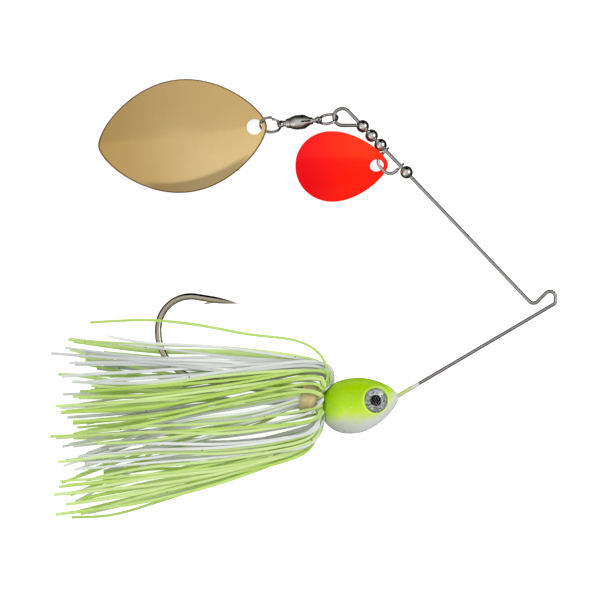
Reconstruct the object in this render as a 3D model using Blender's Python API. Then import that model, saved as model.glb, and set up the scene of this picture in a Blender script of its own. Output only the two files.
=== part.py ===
"""Spinnerbait lying on its side: wire form, painted head, hook, silicone skirt and two spinner blades.

Lengths are in millimetres and are turned into metres when a mesh is made. +X points along the lower wire
leg towards the line tie, +Y towards the blade arm, +Z up from the table that the lure lies on.
"""

import math

import bpy
from mathutils import Matrix, Vector

MM = 0.001

# Wire form: 0.035 in spring wire bent in one flat plane
WIRE_Z = 5.9  # height of the wire's plane above the table
WIRE_R = 0.445
LEG_POINT = Vector((45.0, -11.9))  # a point on the lower leg's centre line
LEG_ANGLE = math.radians(30.5)
ARM_POINT = Vector((28.475, 30.0))  # a point on the upper arm's centre line
ARM_ANGLE = math.radians(133.6)
TIE_X = 63.85  # the line tie's upright stretch
TIE_RETURN_X = 61.425  # where the line tie's slanting stretch starts
TIE_RETURN_Y = 1.7
TIE_CORNER_R = 0.9
TIE_TOP_R = 1.4
TIE_DIP_R = 1.37
ARM_TOP_Y = 47.2  # where the arm runs into the end loop
LOOP_R = 2.1
LOOP_TAIL = 3.3
INNER_LIFT = 1.35  # how far the wire's inner end rises to pass over the hook's eye
LEG_INNER_X = 21.0
LIFT_X = 17.0

# Hook: 5/0, round wire with a closed eye inside the head
HOOK_R = 0.83
HOOK_EYE = Vector((11.25, -26.0))
HOOK_EYE_R = 1.65
HOOK_SHANK_ANGLE = math.radians(170.15)
HOOK_BACK_X = -35.45
HOOK_POINT_LINE_Y = 2.35  # where the point's line would meet the back of the bend
HOOK_POINT_ANGLE = math.radians(-9.2)
HOOK_BEND_R = 11.8
HOOK_CROWN_R = 8.2
HOOK_TIP_X = -15.4
HOOK_TAPER = 6.0  # length over which the wire is ground to a point
BARB_FROM_TIP = 7.6
BARB_LENGTH = 2.2
BARB_RISE = 1.5

# Head: cast metal on the hook's shank, with a neck and a keeper behind it
HEAD_REAR_X = 5.1
HEAD_LENGTH = 19.6
HEAD_HALF_HEIGHT = 6.95
HEAD_WIDTH_RATIO = 0.835
HEAD_WIDEST = 0.44
HEAD_AXIS_Y = -26.7
HEAD_NOSE_RISE = 2.3
NECK_R = 2.1
KEEPER_END_X = -9.2
KEEPER_END_R = 1.35
CAVITY_GAP = 0.06

# Eyes: foil disc under a clear dome, one on each cheek
EYE_CENTRE = Vector((18.75, -24.95))
EYE_TILT = math.radians(20.0)
EYE_FLOOR = 3.95  # height of the socket's floor above the wire's plane
EYE_R = 3.05
EYE_GAP = 0.06
FOIL_THICK = 0.25
LENS_EDGE = 0.25
LENS_RISE = 0.55

# Skirt: a rubber band on the neck and flat bundles of silicone strands
BAND_R = 3.65
BAND_BORE = 2.25
BAND_CENTRE_X = 2.2
BAND_LENGTH = 4.0
BUNDLE_GAP = 0.5  # from the band's end faces to the middle of a bundle's root
OUTER_BUNDLES = 10
ROOT_R = 3.3  # distance of an outer bundle's root from the shank
INNER_ROOT_R = 2.85
FOLD_X = 5.3  # where an outer bundle turns outwards
FOLD_HIGH = 4.4
SHOULDER_X = 0.8  # where it is widest and turns back
SHOULDER_UP = 9.6
SHOULDER_DOWN = 13.0
SHOULDER_HIGH = 4.7
# X, share of the way to the end, share of the shoulder
FAN_MIDDLES = ((-18.0, 0.42, 0.62), (-38.0, 0.75, 0.28))
FAN_TOP_Y = -13.2  # the middle of the highest bundle's end
FAN_STEP_Y = 9.35
FAN_END_X = -58.5
FAN_ROUNDING = 5.4  # how much further the side bundles reach than the top and bottom ones
UPPER_RUN, LOWER_RUN, RUN_SPREAD = 2.15, -2.3, 1.6  # heights of the runs from the wire's plane
UPPER_END_Z, LOWER_END_Z, INNER_END_Z = 6.4, 1.55, 4.0
OUTER_WIDTHS = (0.75, 1.15, 1.45, 2.4, 3.4, 4.4)  # half widths from root to end
OUTER_THICKS = (0.3, 0.45, 0.6, 0.7, 0.8, 0.8)
INNER_WIDTHS = (0.8, 1.3, 2.0, 3.4)
INNER_THICKS = (0.35, 0.4, 0.42, 0.45)
INNER_MIDDLES = ((-12.0, 0.2, 2.2), (-30.0, 0.5, 0.0))  # X, share of the way to the end, spread
INNER_UPPER_RUN, INNER_LOWER_RUN = 1.75, -2.0
INNER_BUNDLES = ((90.0, -36.0), (172.0, -45.0), (-90.0, -27.0), (-25.0, -18.0))  # angle, end's Y

# Beads on the arm, counted from where the arm runs into the end loop
BEAD_R = 1.5875
BEAD_BORE = 0.51
BEAD_FIRST = 5.2
BEAD_PITCH = 3.23
SPACER_BEADS = 3
STOP_BEAD_AT = 21.08

# Clevis: a stirrup of round wire with flattened, pierced ears
CLEVIS_AT = 16.3
CLEVIS_HALF = 2.75
CLEVIS_DEPTH = 3.85
CLEVIS_BEND_R = 2.1
CLEVIS_R = 0.39
BLADE_PIVOT_UP = 0.3  # the blade's swing centre inside the stirrup, up the arm
BLADE_PIVOT_OUT = 2.0  # and out from it
CLEVIS_SWING = math.radians(3.0)
EAR_R = 1.2
EAR_THICK = 0.5
EAR_BORE = 0.52

# Front blade: round-ended leaf, hung by its narrow end, convex side up
FRONT_TIP = Vector((21.93, 33.95, 5.5))
FRONT_LENGTH = 23.1
FRONT_HALF_WIDTH = 9.55
FRONT_SKEW = 0.75
FRONT_CUP = 2.3
FRONT_THICK = 0.4
FRONT_HOLE_AT = 2.72
FRONT_HOLE_R = 1.7
FRONT_PITCH = math.radians(3.5)
FRONT_HEADING = math.radians(182.3)
FRONT_ROLL = math.radians(26.0)

# Blade chain: it leaves the end loop pointing back and a little down
CHAIN_START = Vector((8.494, 45.375, WIRE_Z))
CHAIN_HEADING = math.radians(185.3)
CHAIN_DROP = math.radians(10.0)
WELDED_RING_AT = 1.51
WELDED_RING_R = 2.35
WELDED_WIRE_R = 0.35
WELDED_TILT = math.radians(-58.0)
BARREL_EYE_AT = 3.98
BARREL_EYE_HOLE = 0.55
BARREL_EYE_R = 0.92
BARREL_EYE_THICK = 0.9
BARREL_START = 5.45
BARREL_LENGTH = 6.7
BARREL_R = 1.82
BARREL_BORE = 0.58
BARREL_OUTSIDE = (  # radius and height from the ring's end to the rotor's end
    (0.9, 0.0), (0.95, 0.6), (1.7, 1.95), (BARREL_R, 2.3),
    (BARREL_R, 4.3), (1.47, 5.5), (1.35, 5.6), (1.12, BARREL_LENGTH),
)
BARREL_INSIDE = (
    (BARREL_BORE, BARREL_LENGTH), (BARREL_BORE, 5.5), (1.22, 5.4), (1.32, 4.2), (1.32, 2.7), (0.3, 2.3),
)
BARREL_NECK_R = 0.5
SLOT_WIDTH = 0.42
SLOT_FROM = 0.35
SLOT_LENGTH = 2.3
SLOT_HIGH = (-3.0, -0.2)
ROTOR_R = 0.45
ROTOR_OUTSIDE = (  # flange among the balls, shaft, and collar outside the shell
    (1.12, 3.05), (1.12, 3.75), (ROTOR_R, 3.8), (ROTOR_R, 6.75), (0.8, 6.8), (0.8, 7.1), (0.6, 7.5),
)
ROTOR_EYE_AT = 13.53
ROTOR_EYE_HOLE = 0.6
ROTOR_EYE_R = 0.97
ROTOR_EYE_THICK = 0.9
BALLS = 6
BALL_R = 0.27
BALL_CIRCLE_R = 0.9
BALLS_AT = 4.12  # from the barrel's start
SPLIT_RING_AT = 16.26
SPLIT_RING_R = 2.61
SPLIT_WIRE_R = 0.2
SPLIT_PITCH = 0.44
SPLIT_TURNS = 2
SPLIT_START = math.radians(110.0)
SPLIT_TILT = math.radians(51.0)

# Rear blade: willow leaf, hollow side up, belly on the table
REAR_TIP = Vector((-8.38, 43.93, 2.8))
REAR_LENGTH = 42.6
REAR_HALF_WIDTH = 14.2
REAR_HEADING = math.radians(187.4)
REAR_CUP = 2.4
REAR_THICK = 0.45
REAR_HOLE_AT = 3.1
REAR_HOLE_R = 1.9

STEEL = ((0.42, 0.41, 0.40), 0.32, 1.0)
BRONZE = ((0.46, 0.42, 0.35), 0.3, 1.0)
NICKEL = ((0.62, 0.61, 0.59), 0.15, 1.0)
GOLD = ((0.62, 0.43, 0.18), 0.25, 1.0)
RED = ((0.9, 0.03, 0.01), 0.3, 0.0)
CHARTREUSE = ((0.42, 0.68, 0.02), 0.3, 0.0)
STRAND = ((0.5, 0.72, 0.2), 0.5, 0.0)
BAND = ((0.62, 0.52, 0.28), 0.6, 0.0)
FOIL = ((0.7, 0.72, 0.75), 0.25, 0.8)
CLEAR = ((0.9, 0.95, 1.0), 0.05, 0.0)


def material(name, look):
    """A Principled material from a (colour, roughness, metallic) triple."""
    colour, rough, metal = look
    made = bpy.data.materials.new(name)
    made.use_nodes = True
    shader = made.node_tree.nodes["Principled BSDF"]
    shader.inputs["Base Color"].default_value = (*colour, 1.0)
    shader.inputs["Roughness"].default_value = rough
    shader.inputs["Metallic"].default_value = metal
    return made


def add_object(name, points, faces, look, origin=Vector((0, 0, 0)), smooth=40.0):
    """A mesh object from points in millimetres, with its origin at the given point."""
    mesh = bpy.data.meshes.new(name)
    mesh.from_pydata([(p - origin) * MM for p in points], [], faces)
    mesh.materials.append(material(name, look))
    mesh.shade_smooth()
    mesh.set_sharp_from_angle(angle=math.radians(smooth))
    made = bpy.data.objects.new(name, mesh)
    made.location = origin * MM
    bpy.context.scene.collection.objects.link(made)
    return made


def add_tool(name, points, faces):
    """A hidden object that only joins to or cuts another one."""
    tool = add_object(name, points, faces, STEEL)
    tool.hide_render = True
    tool.display_type = "WIRE"
    return tool


def boolean(target, tool, operation):
    """Keeps a live exact Boolean on the target."""
    step = target.modifiers.new(tool.name, "BOOLEAN")
    step.operation = operation
    step.solver = "EXACT"
    step.object = tool


def flat(x, y, z=WIRE_Z):
    return Vector((x, y, z))


def heading(angle):
    return Vector((math.cos(angle), math.sin(angle)))


def meet(point_a, angle_a, point_b, angle_b):
    """Where two lines in the wire's plane cross."""
    along_a, along_b = heading(angle_a), heading(angle_b)
    gap = point_b - point_a
    scale = along_a.x * along_b.y - along_a.y * along_b.x
    return point_a + along_a * ((gap.x * along_b.y - gap.y * along_b.x) / scale)


def rounded(corners, step=0.35):
    """A path through (point, bend radius) corners, with each bend as an arc."""
    path = [corners[0][0]]
    for i in range(1, len(corners) - 1):
        corner, radius = corners[i]
        back = (corners[i - 1][0] - corner).normalized()
        ahead = (corners[i + 1][0] - corner).normalized()
        inside = back.angle(ahead)
        turn = math.pi - inside
        centre = corner + (back + ahead).normalized() * (radius / math.sin(inside / 2))
        start = corner + back * (radius / math.tan(inside / 2)) - centre
        axis = ahead.cross(back).normalized()
        count = max(3, math.ceil(turn / step))
        for k in range(count + 1):
            path.append(centre + Matrix.Rotation(turn * k / count, 3, axis) @ start)
    path.append(corners[-1][0])
    return path


def frames(path, closed=False):
    """Tangent, side and upright at each point of a path, carried along without twisting."""
    count = len(path)
    tangents = []
    for i in range(count):
        before = path[i - 1] if closed or i > 0 else path[i]
        after = path[(i + 1) % count] if closed or i < count - 1 else path[i]
        tangents.append((after - before).normalized())
    side = tangents[0].orthogonal().normalized()
    found = []
    for i, tangent in enumerate(tangents):
        side = (side - tangent * side.dot(tangent)).normalized()
        found.append((tangent, side, tangent.cross(side)))
    return found


def skin(rings, closed=False, capped=True):
    """Points and faces that join rings of equal size, listed anticlockwise about their travel."""
    size = len(rings[0])
    points = [p for ring in rings for p in ring]
    faces = []
    spans = len(rings) if closed else len(rings) - 1
    for i in range(spans):
        low, high = i * size, ((i + 1) % len(rings)) * size
        for k in range(size):
            n = (k + 1) % size
            faces.append((low + k, low + n, high + n, high + k))
    if capped and not closed:
        faces.append(tuple(reversed(range(size))))
        faces.append(tuple(range(len(points) - size, len(points))))
    return points, faces


def tube(path, radius, sides=10):
    """A round bar along a path; the radius is a number or one number for each point."""
    radii = radius if isinstance(radius, list) else [radius] * len(path)
    rings = []
    for point, size, (_, side, up) in zip(path, radii, frames(path)):
        turns = [2 * math.pi * k / sides for k in range(sides)]
        rings.append([point + (side * math.cos(t) + up * math.sin(t)) * size for t in turns])
    return skin(rings)


def turned(profile, frame, sides=20, closed=False):
    """A shape turned about the frame's Z, from (radius, height) points that run upwards on the outside."""
    rings = []
    for radius, height in profile:
        turns = [2 * math.pi * k / sides for k in range(sides)]
        rings.append([frame @ Vector((radius * math.cos(t), radius * math.sin(t), height)) for t in turns])
    return skin(rings, closed=closed)


def axis_frame(point, along):
    """A frame at a point with its Z along the given direction."""
    spin = along.to_track_quat("Z", "Y").to_matrix().to_4x4()
    return Matrix.Translation(point) @ spin


def cylinder(point, along, radius, length, sides=20):
    """A plain cylinder centred on a point."""
    half = length / 2
    return turned([(radius, -half), (radius, half)], axis_frame(point, along), sides)


def arm_point(distance):
    """A point on the arm, at a distance down from the end loop."""
    top = meet(ARM_POINT, ARM_ANGLE, Vector((0, ARM_TOP_Y)), 0.0)
    spot = top - heading(ARM_ANGLE) * distance
    return flat(spot.x, spot.y)


def arm_direction():
    up = heading(ARM_ANGLE)
    return Vector((up.x, up.y, 0))


def wire_inner_corners(extra=0.0):
    """The wire's end inside the head: up through the hook's eye, over it and on to the leg's line."""
    leg = meet(LEG_POINT, LEG_ANGLE, Vector((LEG_INNER_X, 0)), math.pi / 2)
    lifted = WIRE_Z + INNER_LIFT
    return [
        (flat(HOOK_EYE.x, HOOK_EYE.y, WIRE_Z - INNER_LIFT - extra), 0),
        (flat(HOOK_EYE.x, HOOK_EYE.y, lifted), 0.65),
        (flat(LIFT_X, leg.y, lifted), 1.5),
        (flat(leg.x, leg.y), 1.5),
    ]


def wire_path():
    """The whole wire, from the hook's eye round the line tie and up the arm to the end loop's tail."""
    slant = math.radians(225)
    returning = Vector((TIE_RETURN_X, TIE_RETURN_Y))
    upright = Vector((TIE_X, 0))
    corner = meet(LEG_POINT, LEG_ANGLE, upright, math.pi / 2)
    crest = meet(returning, slant, upright, math.pi / 2)
    dip = meet(returning, slant, ARM_POINT, ARM_ANGLE)
    start = arm_point(0)
    path = rounded(wire_inner_corners() + [
        (flat(corner.x, corner.y), TIE_CORNER_R),
        (flat(crest.x, crest.y), TIE_TOP_R),
        (flat(dip.x, dip.y), TIE_DIP_R),
        (start, 0),
    ])
    inward = Vector((-math.sin(ARM_ANGLE), math.cos(ARM_ANGLE), 0))
    centre = start + inward * LOOP_R
    sweep = 2 * math.pi - ARM_ANGLE
    steps = 18
    for k in range(1, steps + 1):
        path.append(centre + Matrix.Rotation(sweep * k / steps, 3, "Z") @ (start - centre))
    path.append(path[-1] + Vector((LOOP_TAIL, 0, 0)))
    return path


def make_wire():
    return add_object("wire_form", *tube(wire_path(), WIRE_R, 8), STEEL)


def hook_path():
    """The hook's centre line, from its eye along the shank and round the bend to the point."""
    along = heading(HOOK_SHANK_ANGLE)
    shank = HOOK_EYE + along * HOOK_EYE_R
    back = Vector((HOOK_BACK_X, 0))
    low = meet(HOOK_EYE, HOOK_SHANK_ANGLE, back, math.pi / 2)
    high = Vector((HOOK_BACK_X, HOOK_POINT_LINE_Y))
    tip = meet(high, HOOK_POINT_ANGLE, Vector((HOOK_TIP_X, 0)), math.pi / 2)
    return rounded([
        (flat(shank.x, shank.y), 0),
        (flat(low.x, low.y), HOOK_BEND_R),
        (flat(high.x, high.y), HOOK_CROWN_R),
        (flat(tip.x, tip.y), 0),
    ], step=0.2)


def hook_eye_path():
    count = 20
    centre = flat(HOOK_EYE.x, HOOK_EYE.y)
    turns = [2 * math.pi * k / count for k in range(count)]
    return [centre + Vector((math.cos(t), math.sin(t), 0)) * HOOK_EYE_R for t in turns]


def closed_tube(path, radius, sides=10):
    """A round bar along a closed loop."""
    rings = []
    for point, (_, side, up) in zip(path, frames(path, closed=True)):
        turns = [2 * math.pi * k / sides for k in range(sides)]
        rings.append([point + (side * math.cos(t) + up * math.sin(t)) * radius for t in turns])
    return skin(rings, closed=True)


def make_hook():
    path = hook_path()
    tip = path[-1]
    along = (tip - path[-2]).normalized()
    path[-1:] = [tip - along * HOOK_TAPER, tip - along * HOOK_TAPER / 2, tip]
    radii = [HOOK_R] * (len(path) - 2) + [HOOK_R * 0.62, 0.08]
    hook = add_object("hook", *tube(path, radii), BRONZE)
    boolean(hook, add_tool("hook_eye_tool", *closed_tube(hook_eye_path(), HOOK_R)), "UNION")
    root = tip - along * (BARB_FROM_TIP - BARB_LENGTH)
    inward = Vector((along.y, -along.x, 0))
    end = tip - along * (BARB_FROM_TIP + 0.9) + inward * BARB_RISE
    barb = add_tool("barb_tool", *tube([root, end], [HOOK_R * 0.7, 0.12], 8))
    boolean(hook, barb, "UNION")
    return hook


def head_section(u):
    """Centre, half height and half width of the head at a share u of its length from the rear."""
    if u < HEAD_WIDEST:
        part = (HEAD_WIDEST - u) / HEAD_WIDEST
        size = math.sqrt(max(0.0, 1 - part**2.4))
    else:
        size = math.sin(math.pi * u**0.84) ** 0.62
    centre = flat(HEAD_REAR_X + HEAD_LENGTH * u, HEAD_AXIS_Y + HEAD_NOSE_RISE * u**2.6)
    return centre, HEAD_HALF_HEIGHT * size, HEAD_HALF_HEIGHT * HEAD_WIDTH_RATIO * size


def head_shape(stations=17, sides=22):
    rings = []
    for i in range(stations + 1):
        u = 0.004 + 0.992 * (1 - math.cos(math.pi * i / stations)) / 2
        centre, tall, wide = head_section(u)
        turns = [2 * math.pi * k / sides for k in range(sides)]
        rings.append([centre + Vector((0, tall * math.cos(t), wide * math.sin(t))) for t in turns])
    return skin(rings)


def shank_point(x):
    """The point of the hook's shank line at a place along X."""
    spot = meet(HOOK_EYE, HOOK_SHANK_ANGLE, Vector((x, 0)), math.pi / 2)
    return flat(spot.x, spot.y)


def around_shank(centre, across, high, radius):
    """A point beside the shank: across is its share up in the wire's plane, high its share along Z."""
    up = heading(HOOK_SHANK_ANGLE - math.pi / 2)
    return centre + Vector((up.x * across, up.y * across, high)) * radius


def keeper_shape():
    """Neck under the band and tapered keeper behind it, turned about the hook's shank."""
    front = shank_point(HEAD_REAR_X + 3.0)
    along = (shank_point(KEEPER_END_X) - front).normalized()
    length = (shank_point(KEEPER_END_X) - front).length
    band_end = (shank_point(BAND_CENTRE_X) - front).length + BAND_LENGTH / 2
    profile = [
        (NECK_R, 0.0),
        (NECK_R, band_end + 0.3),
        (KEEPER_END_R + 0.2, length - 2.2),
        (KEEPER_END_R + 0.55, length - 1.9),
        (KEEPER_END_R, length),
    ]
    return turned(profile, axis_frame(front, along), 16)


def eye_frame(side):
    """A frame at the socket's floor with its Z out of the cheek; side is 1 for up and -1 for down."""
    out = Vector((math.sin(EYE_TILT), 0, side * math.cos(EYE_TILT)))
    return axis_frame(flat(EYE_CENTRE.x, EYE_CENTRE.y, WIRE_Z + side * EYE_FLOOR), out)


def make_head():
    head = add_object("head", *head_shape(), CHARTREUSE)
    boolean(head, add_tool("keeper_tool", *keeper_shape()), "UNION")
    for name, side in (("upper", 1), ("lower", -1)):
        socket = turned([(EYE_R + EYE_GAP, 0), (EYE_R + EYE_GAP, 4)], eye_frame(side), 28)
        boolean(head, add_tool("socket_" + name, *socket), "DIFFERENCE")
    cavity = rounded(wire_inner_corners(CAVITY_GAP) + [(flat(*LEG_POINT), 0)])
    wire = tube(cavity, WIRE_R + CAVITY_GAP, 12)
    boolean(head, add_tool("wire_cavity", *wire), "DIFFERENCE")
    shank = [shank_point(HOOK_EYE.x - HOOK_EYE_R), shank_point(KEEPER_END_X - 2)]
    boolean(head, add_tool("shank_cavity", *tube(shank, HOOK_R + CAVITY_GAP, 12)), "DIFFERENCE")
    eye = closed_tube(hook_eye_path(), HOOK_R + CAVITY_GAP, 12)
    boolean(head, add_tool("hook_eye_cavity", *eye), "DIFFERENCE")
    return head


def make_eye(label, side):
    """The foil disc and the clear dome of one eye."""
    frame = eye_frame(side)
    low = EYE_GAP
    foil = [(EYE_R - 0.02, low), (EYE_R - 0.02, low + FOIL_THICK)]
    add_object("eye_foil_" + label, *turned(foil, frame, 28), FOIL)
    base = low + FOIL_THICK + EYE_GAP
    dome = [(EYE_R - 0.02, base), (EYE_R - 0.02, base + LENS_EDGE)]
    for k in range(1, 6):
        t = math.pi / 2 * k / 6
        dome.append((EYE_R * math.cos(t), base + LENS_EDGE + LENS_RISE * math.sin(t)))
    add_object("eye_lens_" + label, *turned(dome, frame, 28), CLEAR)


def make_band():
    """The rubber band, a little barrel-shaped, on the head's neck."""
    centre = shank_point(BAND_CENTRE_X)
    along = (shank_point(-10) - centre).normalized()
    half = BAND_LENGTH / 2
    profile = [
        (BAND_BORE, -half), (BAND_R - 0.35, -half), (BAND_R, -half * 0.55),
        (BAND_R, half * 0.55), (BAND_R - 0.35, half), (BAND_BORE, half),
    ]
    return add_object("skirt_band", *turned(profile, axis_frame(centre, along), 20, closed=True), BAND)


def smooth_path(points, per_span=3):
    """A Catmull-Rom curve through the points."""
    path = []
    for i in range(len(points) - 1):
        a, b = points[max(i - 1, 0)], points[i]
        c, d = points[i + 1], points[min(i + 2, len(points) - 1)]
        for k in range(per_span):
            t = k / per_span
            path.append(0.5 * (2 * b + (c - a) * t + (2 * a - 5 * b + 4 * c - d) * t * t
                               + (3 * b - a - 3 * c + d) * t**3))
    path.append(points[-1])
    return path


def bundle(name, points, widths, thicknesses, wide_start):
    """A flat bundle of strands: an oval section that turns from its root's lie to flat on the table."""
    path = smooth_path(points)
    last = len(path) - 1
    flat_way = Vector((0, -1 if wide_start.y < 0 else 1, 0))
    rings = []
    for i, (point, (tangent, _, _)) in enumerate(zip(path, frames(path))):
        share = i / last
        span = min(share * (len(points) - 1), len(points) - 1 - 1e-9)
        k, f = int(span), span % 1
        wide = widths[k] + (widths[k + 1] - widths[k]) * f
        thick = thicknesses[k] + (thicknesses[k + 1] - thicknesses[k]) * f
        lie = wide_start.lerp(flat_way, min(1.0, share * 2.2))
        side = (lie - tangent * lie.dot(tangent)).normalized()
        up = tangent.cross(side)
        turns = [2 * math.pi * n / 8 for n in range(8)]
        rings.append([point + side * wide * math.cos(t) + up * thick * math.sin(t) for t in turns])
    return add_object(name, *skin(rings), STRAND, smooth=60.0)


def make_outer_bundle(index):
    """A bundle folded back from the band's front edge, at its own angle about the neck."""
    angle = math.radians(360.0 / OUTER_BUNDLES * (index + 0.5))
    across, high = math.cos(angle), math.sin(angle)
    front = shank_point(BAND_CENTRE_X + BAND_LENGTH / 2 + BUNDLE_GAP)
    reach = across * (SHOULDER_UP if across > 0 else SHOULDER_DOWN)
    above = 1 if high > 0 else -1
    run_z = WIRE_Z + (UPPER_RUN if above > 0 else LOWER_RUN) + high * RUN_SPREAD
    end_z = UPPER_END_Z if above > 0 else LOWER_END_Z
    shoulder_z = WIRE_Z + above * 0.5 + high * (SHOULDER_HIGH - 0.5)
    rank = min(index, OUTER_BUNDLES - 1 - index)
    tip_y = FAN_TOP_Y - FAN_STEP_Y * rank
    points = [
        around_shank(front, across, high, ROOT_R),
        flat(FOLD_X + across * 0.3, front.y + reach * 0.62, WIRE_Z + high * FOLD_HIGH),
        flat(SHOULDER_X, front.y + reach, shoulder_z),
    ]
    for x, share, spread in FAN_MIDDLES:
        points.append(flat(x, front.y + (tip_y - front.y) * share + reach * spread, run_z))
    points.append(flat(FAN_END_X - FAN_ROUNDING * abs(high) ** 3, tip_y, end_z))
    start = Vector((0, -high, across))
    return bundle("skirt_outer_%02d" % (index + 1), points, OUTER_WIDTHS, OUTER_THICKS, start)


def make_inner_bundle(index):
    """A bundle straight back from the band's rear edge."""
    degrees, tip_y = INNER_BUNDLES[index]
    across, high = math.cos(math.radians(degrees)), math.sin(math.radians(degrees))
    rear = shank_point(BAND_CENTRE_X - BAND_LENGTH / 2 - BUNDLE_GAP - 0.2)
    run_z = WIRE_Z + (INNER_UPPER_RUN if high > 0.5 else INNER_LOWER_RUN)
    points = [around_shank(rear, across, high, INNER_ROOT_R)]
    for x, share, spread in INNER_MIDDLES:
        points.append(flat(x, rear.y + (tip_y - rear.y) * share + across * spread, run_z))
    points.append(flat(FAN_END_X + 2.0, tip_y, INNER_END_Z))
    start = Vector((0, -high, across))
    return bundle("skirt_inner_%02d" % (index + 1), points, INNER_WIDTHS, INNER_THICKS, start)


def make_bead(name, distance):
    """A hollow metal bead on the arm."""
    frame = axis_frame(arm_point(distance), arm_direction())
    profile = []
    edge = math.asin(BEAD_BORE / BEAD_R)
    steps = 7
    for k in range(steps + 1):
        t = -math.pi / 2 + edge + (math.pi - 2 * edge) * k / steps
        profile.append((BEAD_R * math.cos(t), BEAD_R * math.sin(t)))
    return add_object(name, *turned(profile, frame, 16, closed=True), NICKEL, frame.translation)


def clevis_frame():
    """Origin between the ears; X up the arm, Y out to the bend of the stirrup."""
    up = arm_direction()
    level = Vector((-up.y, up.x, 0))
    out = level * math.cos(CLEVIS_SWING) - Vector((0, 0, 1)) * math.sin(CLEVIS_SWING)
    made = Matrix((up, out, up.cross(out))).transposed().to_4x4()
    made.translation = arm_point(CLEVIS_AT)
    return made


def make_clevis():
    frame = clevis_frame()
    origin = frame.translation
    corners = [
        (Vector((CLEVIS_HALF, 0.75, 0)), 0),
        (Vector((CLEVIS_HALF, CLEVIS_DEPTH, 0)), CLEVIS_BEND_R),
        (Vector((-CLEVIS_HALF, CLEVIS_DEPTH, 0)), CLEVIS_BEND_R),
        (Vector((-CLEVIS_HALF, 0.75, 0)), 0),
    ]
    path = [frame @ p for p in rounded(corners, step=0.3)]
    clevis = add_object("clevis", *tube(path, CLEVIS_R, 8), NICKEL, origin)
    up = arm_direction()
    for name, side in (("upper", 1), ("lower", -1)):
        centre = frame @ Vector((side * CLEVIS_HALF, 0.1, 0))
        ear = add_tool("ear_" + name, *cylinder(centre, up, EAR_R, EAR_THICK, 18))
        boolean(clevis, ear, "UNION")
    bore = add_tool("clevis_bore", *cylinder(origin, up, EAR_BORE, 4 * CLEVIS_HALF, 16))
    boolean(clevis, bore, "DIFFERENCE")
    return clevis


def leaf(frame, length, half_width, skew, fullness, cup, thick, around, rings_in):
    """A cupped blade: X from the hole's end to the far end, hollow towards -Z of the frame."""
    outline = []
    for k in range(around):
        turn = 2 * math.pi * (k + 0.5) / around
        t = 0.002 + 0.996 * (1 - math.cos(turn)) / 2
        half = half_width * math.sin(math.pi * (1 - t) ** skew) ** 0.62
        outline.append(Vector((length * t, math.copysign(half, math.sin(turn)), 0)))
    centre = Vector((length * (1 - 0.5 ** (1 / skew)), 0, 0))
    top, under = [], []
    for k in range(1, rings_in + 1):
        share = k / rings_in
        lift = cup * (1 - share * share) ** fullness
        ring = [centre + (p - centre) * share for p in outline]
        top.append([p + Vector((0, 0, lift + thick / 2)) for p in ring])
        under.append([p + Vector((0, 0, lift - thick / 2)) for p in ring])
    points, faces = skin(under + top[::-1], capped=False)
    count = len(points)
    points += [centre + Vector((0, 0, cup - thick / 2)), centre + Vector((0, 0, cup + thick / 2))]
    for k in range(around):
        n = (k + 1) % around
        faces.append((count, n, k))
        faces.append((count + 1, count - around + k, count - around + n))
    return [frame @ p for p in points], faces


def blade_frame(tip, angle, pitch, roll):
    """A frame at a blade's tip with its X towards the far end."""
    spin = Matrix.Rotation(angle, 4, "Z") @ Matrix.Rotation(pitch, 4, "Y") @ Matrix.Rotation(roll, 4, "X")
    return Matrix.Translation(tip) @ spin


def front_blade_pivot():
    """Where the blade's end passes through the stirrup's window."""
    return clevis_frame() @ Vector((BLADE_PIVOT_UP, BLADE_PIVOT_OUT, 0))


def make_front_blade():
    frame = blade_frame(FRONT_TIP, FRONT_HEADING, FRONT_PITCH, -FRONT_ROLL)
    shape = leaf(frame, FRONT_LENGTH, FRONT_HALF_WIDTH, FRONT_SKEW, 1.4, FRONT_CUP, FRONT_THICK, 36, 5)
    blade = add_object("front_blade", *shape, RED, front_blade_pivot())
    hole = frame @ Vector((FRONT_HOLE_AT, 0, 0))
    tool = add_tool("front_hole", *cylinder(hole, frame.to_3x3() @ Vector((0, 0, 1)), FRONT_HOLE_R, 6, 24))
    boolean(blade, tool, "DIFFERENCE")
    return blade


def chain_frame(distance, tilt=0.0):
    """A frame on the chain's axis: X along the chain, Y in the tilted plane of a ring there."""
    flat_way = heading(CHAIN_HEADING)
    slope = math.cos(CHAIN_DROP)
    along = Vector((flat_way.x * slope, flat_way.y * slope, -math.sin(CHAIN_DROP)))
    level = Vector((flat_way.y, -flat_way.x, 0))
    upward = along.cross(level)
    if upward.z < 0:
        upward = -upward
    across = level * math.cos(tilt) + upward * math.sin(tilt)
    made = Matrix((along, across, along.cross(across))).transposed().to_4x4()
    made.translation = CHAIN_START + along * distance
    return made


def ring_path(frame, radius, count=24):
    turns = [2 * math.pi * k / count for k in range(count)]
    return [frame @ Vector((radius * math.cos(t), radius * math.sin(t), 0)) for t in turns]


def make_welded_ring():
    frame = chain_frame(WELDED_RING_AT, WELDED_TILT)
    shape = closed_tube(ring_path(frame, WELDED_RING_R), WELDED_WIRE_R, 8)
    return add_object("welded_ring", *shape, NICKEL, CHAIN_START)


def along_x(frame, distance):
    """A frame with its Z along the given frame's X, at a distance along it."""
    return frame @ Matrix.Translation((distance, 0, 0)) @ Matrix.Rotation(math.pi / 2, 4, "Y")


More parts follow.
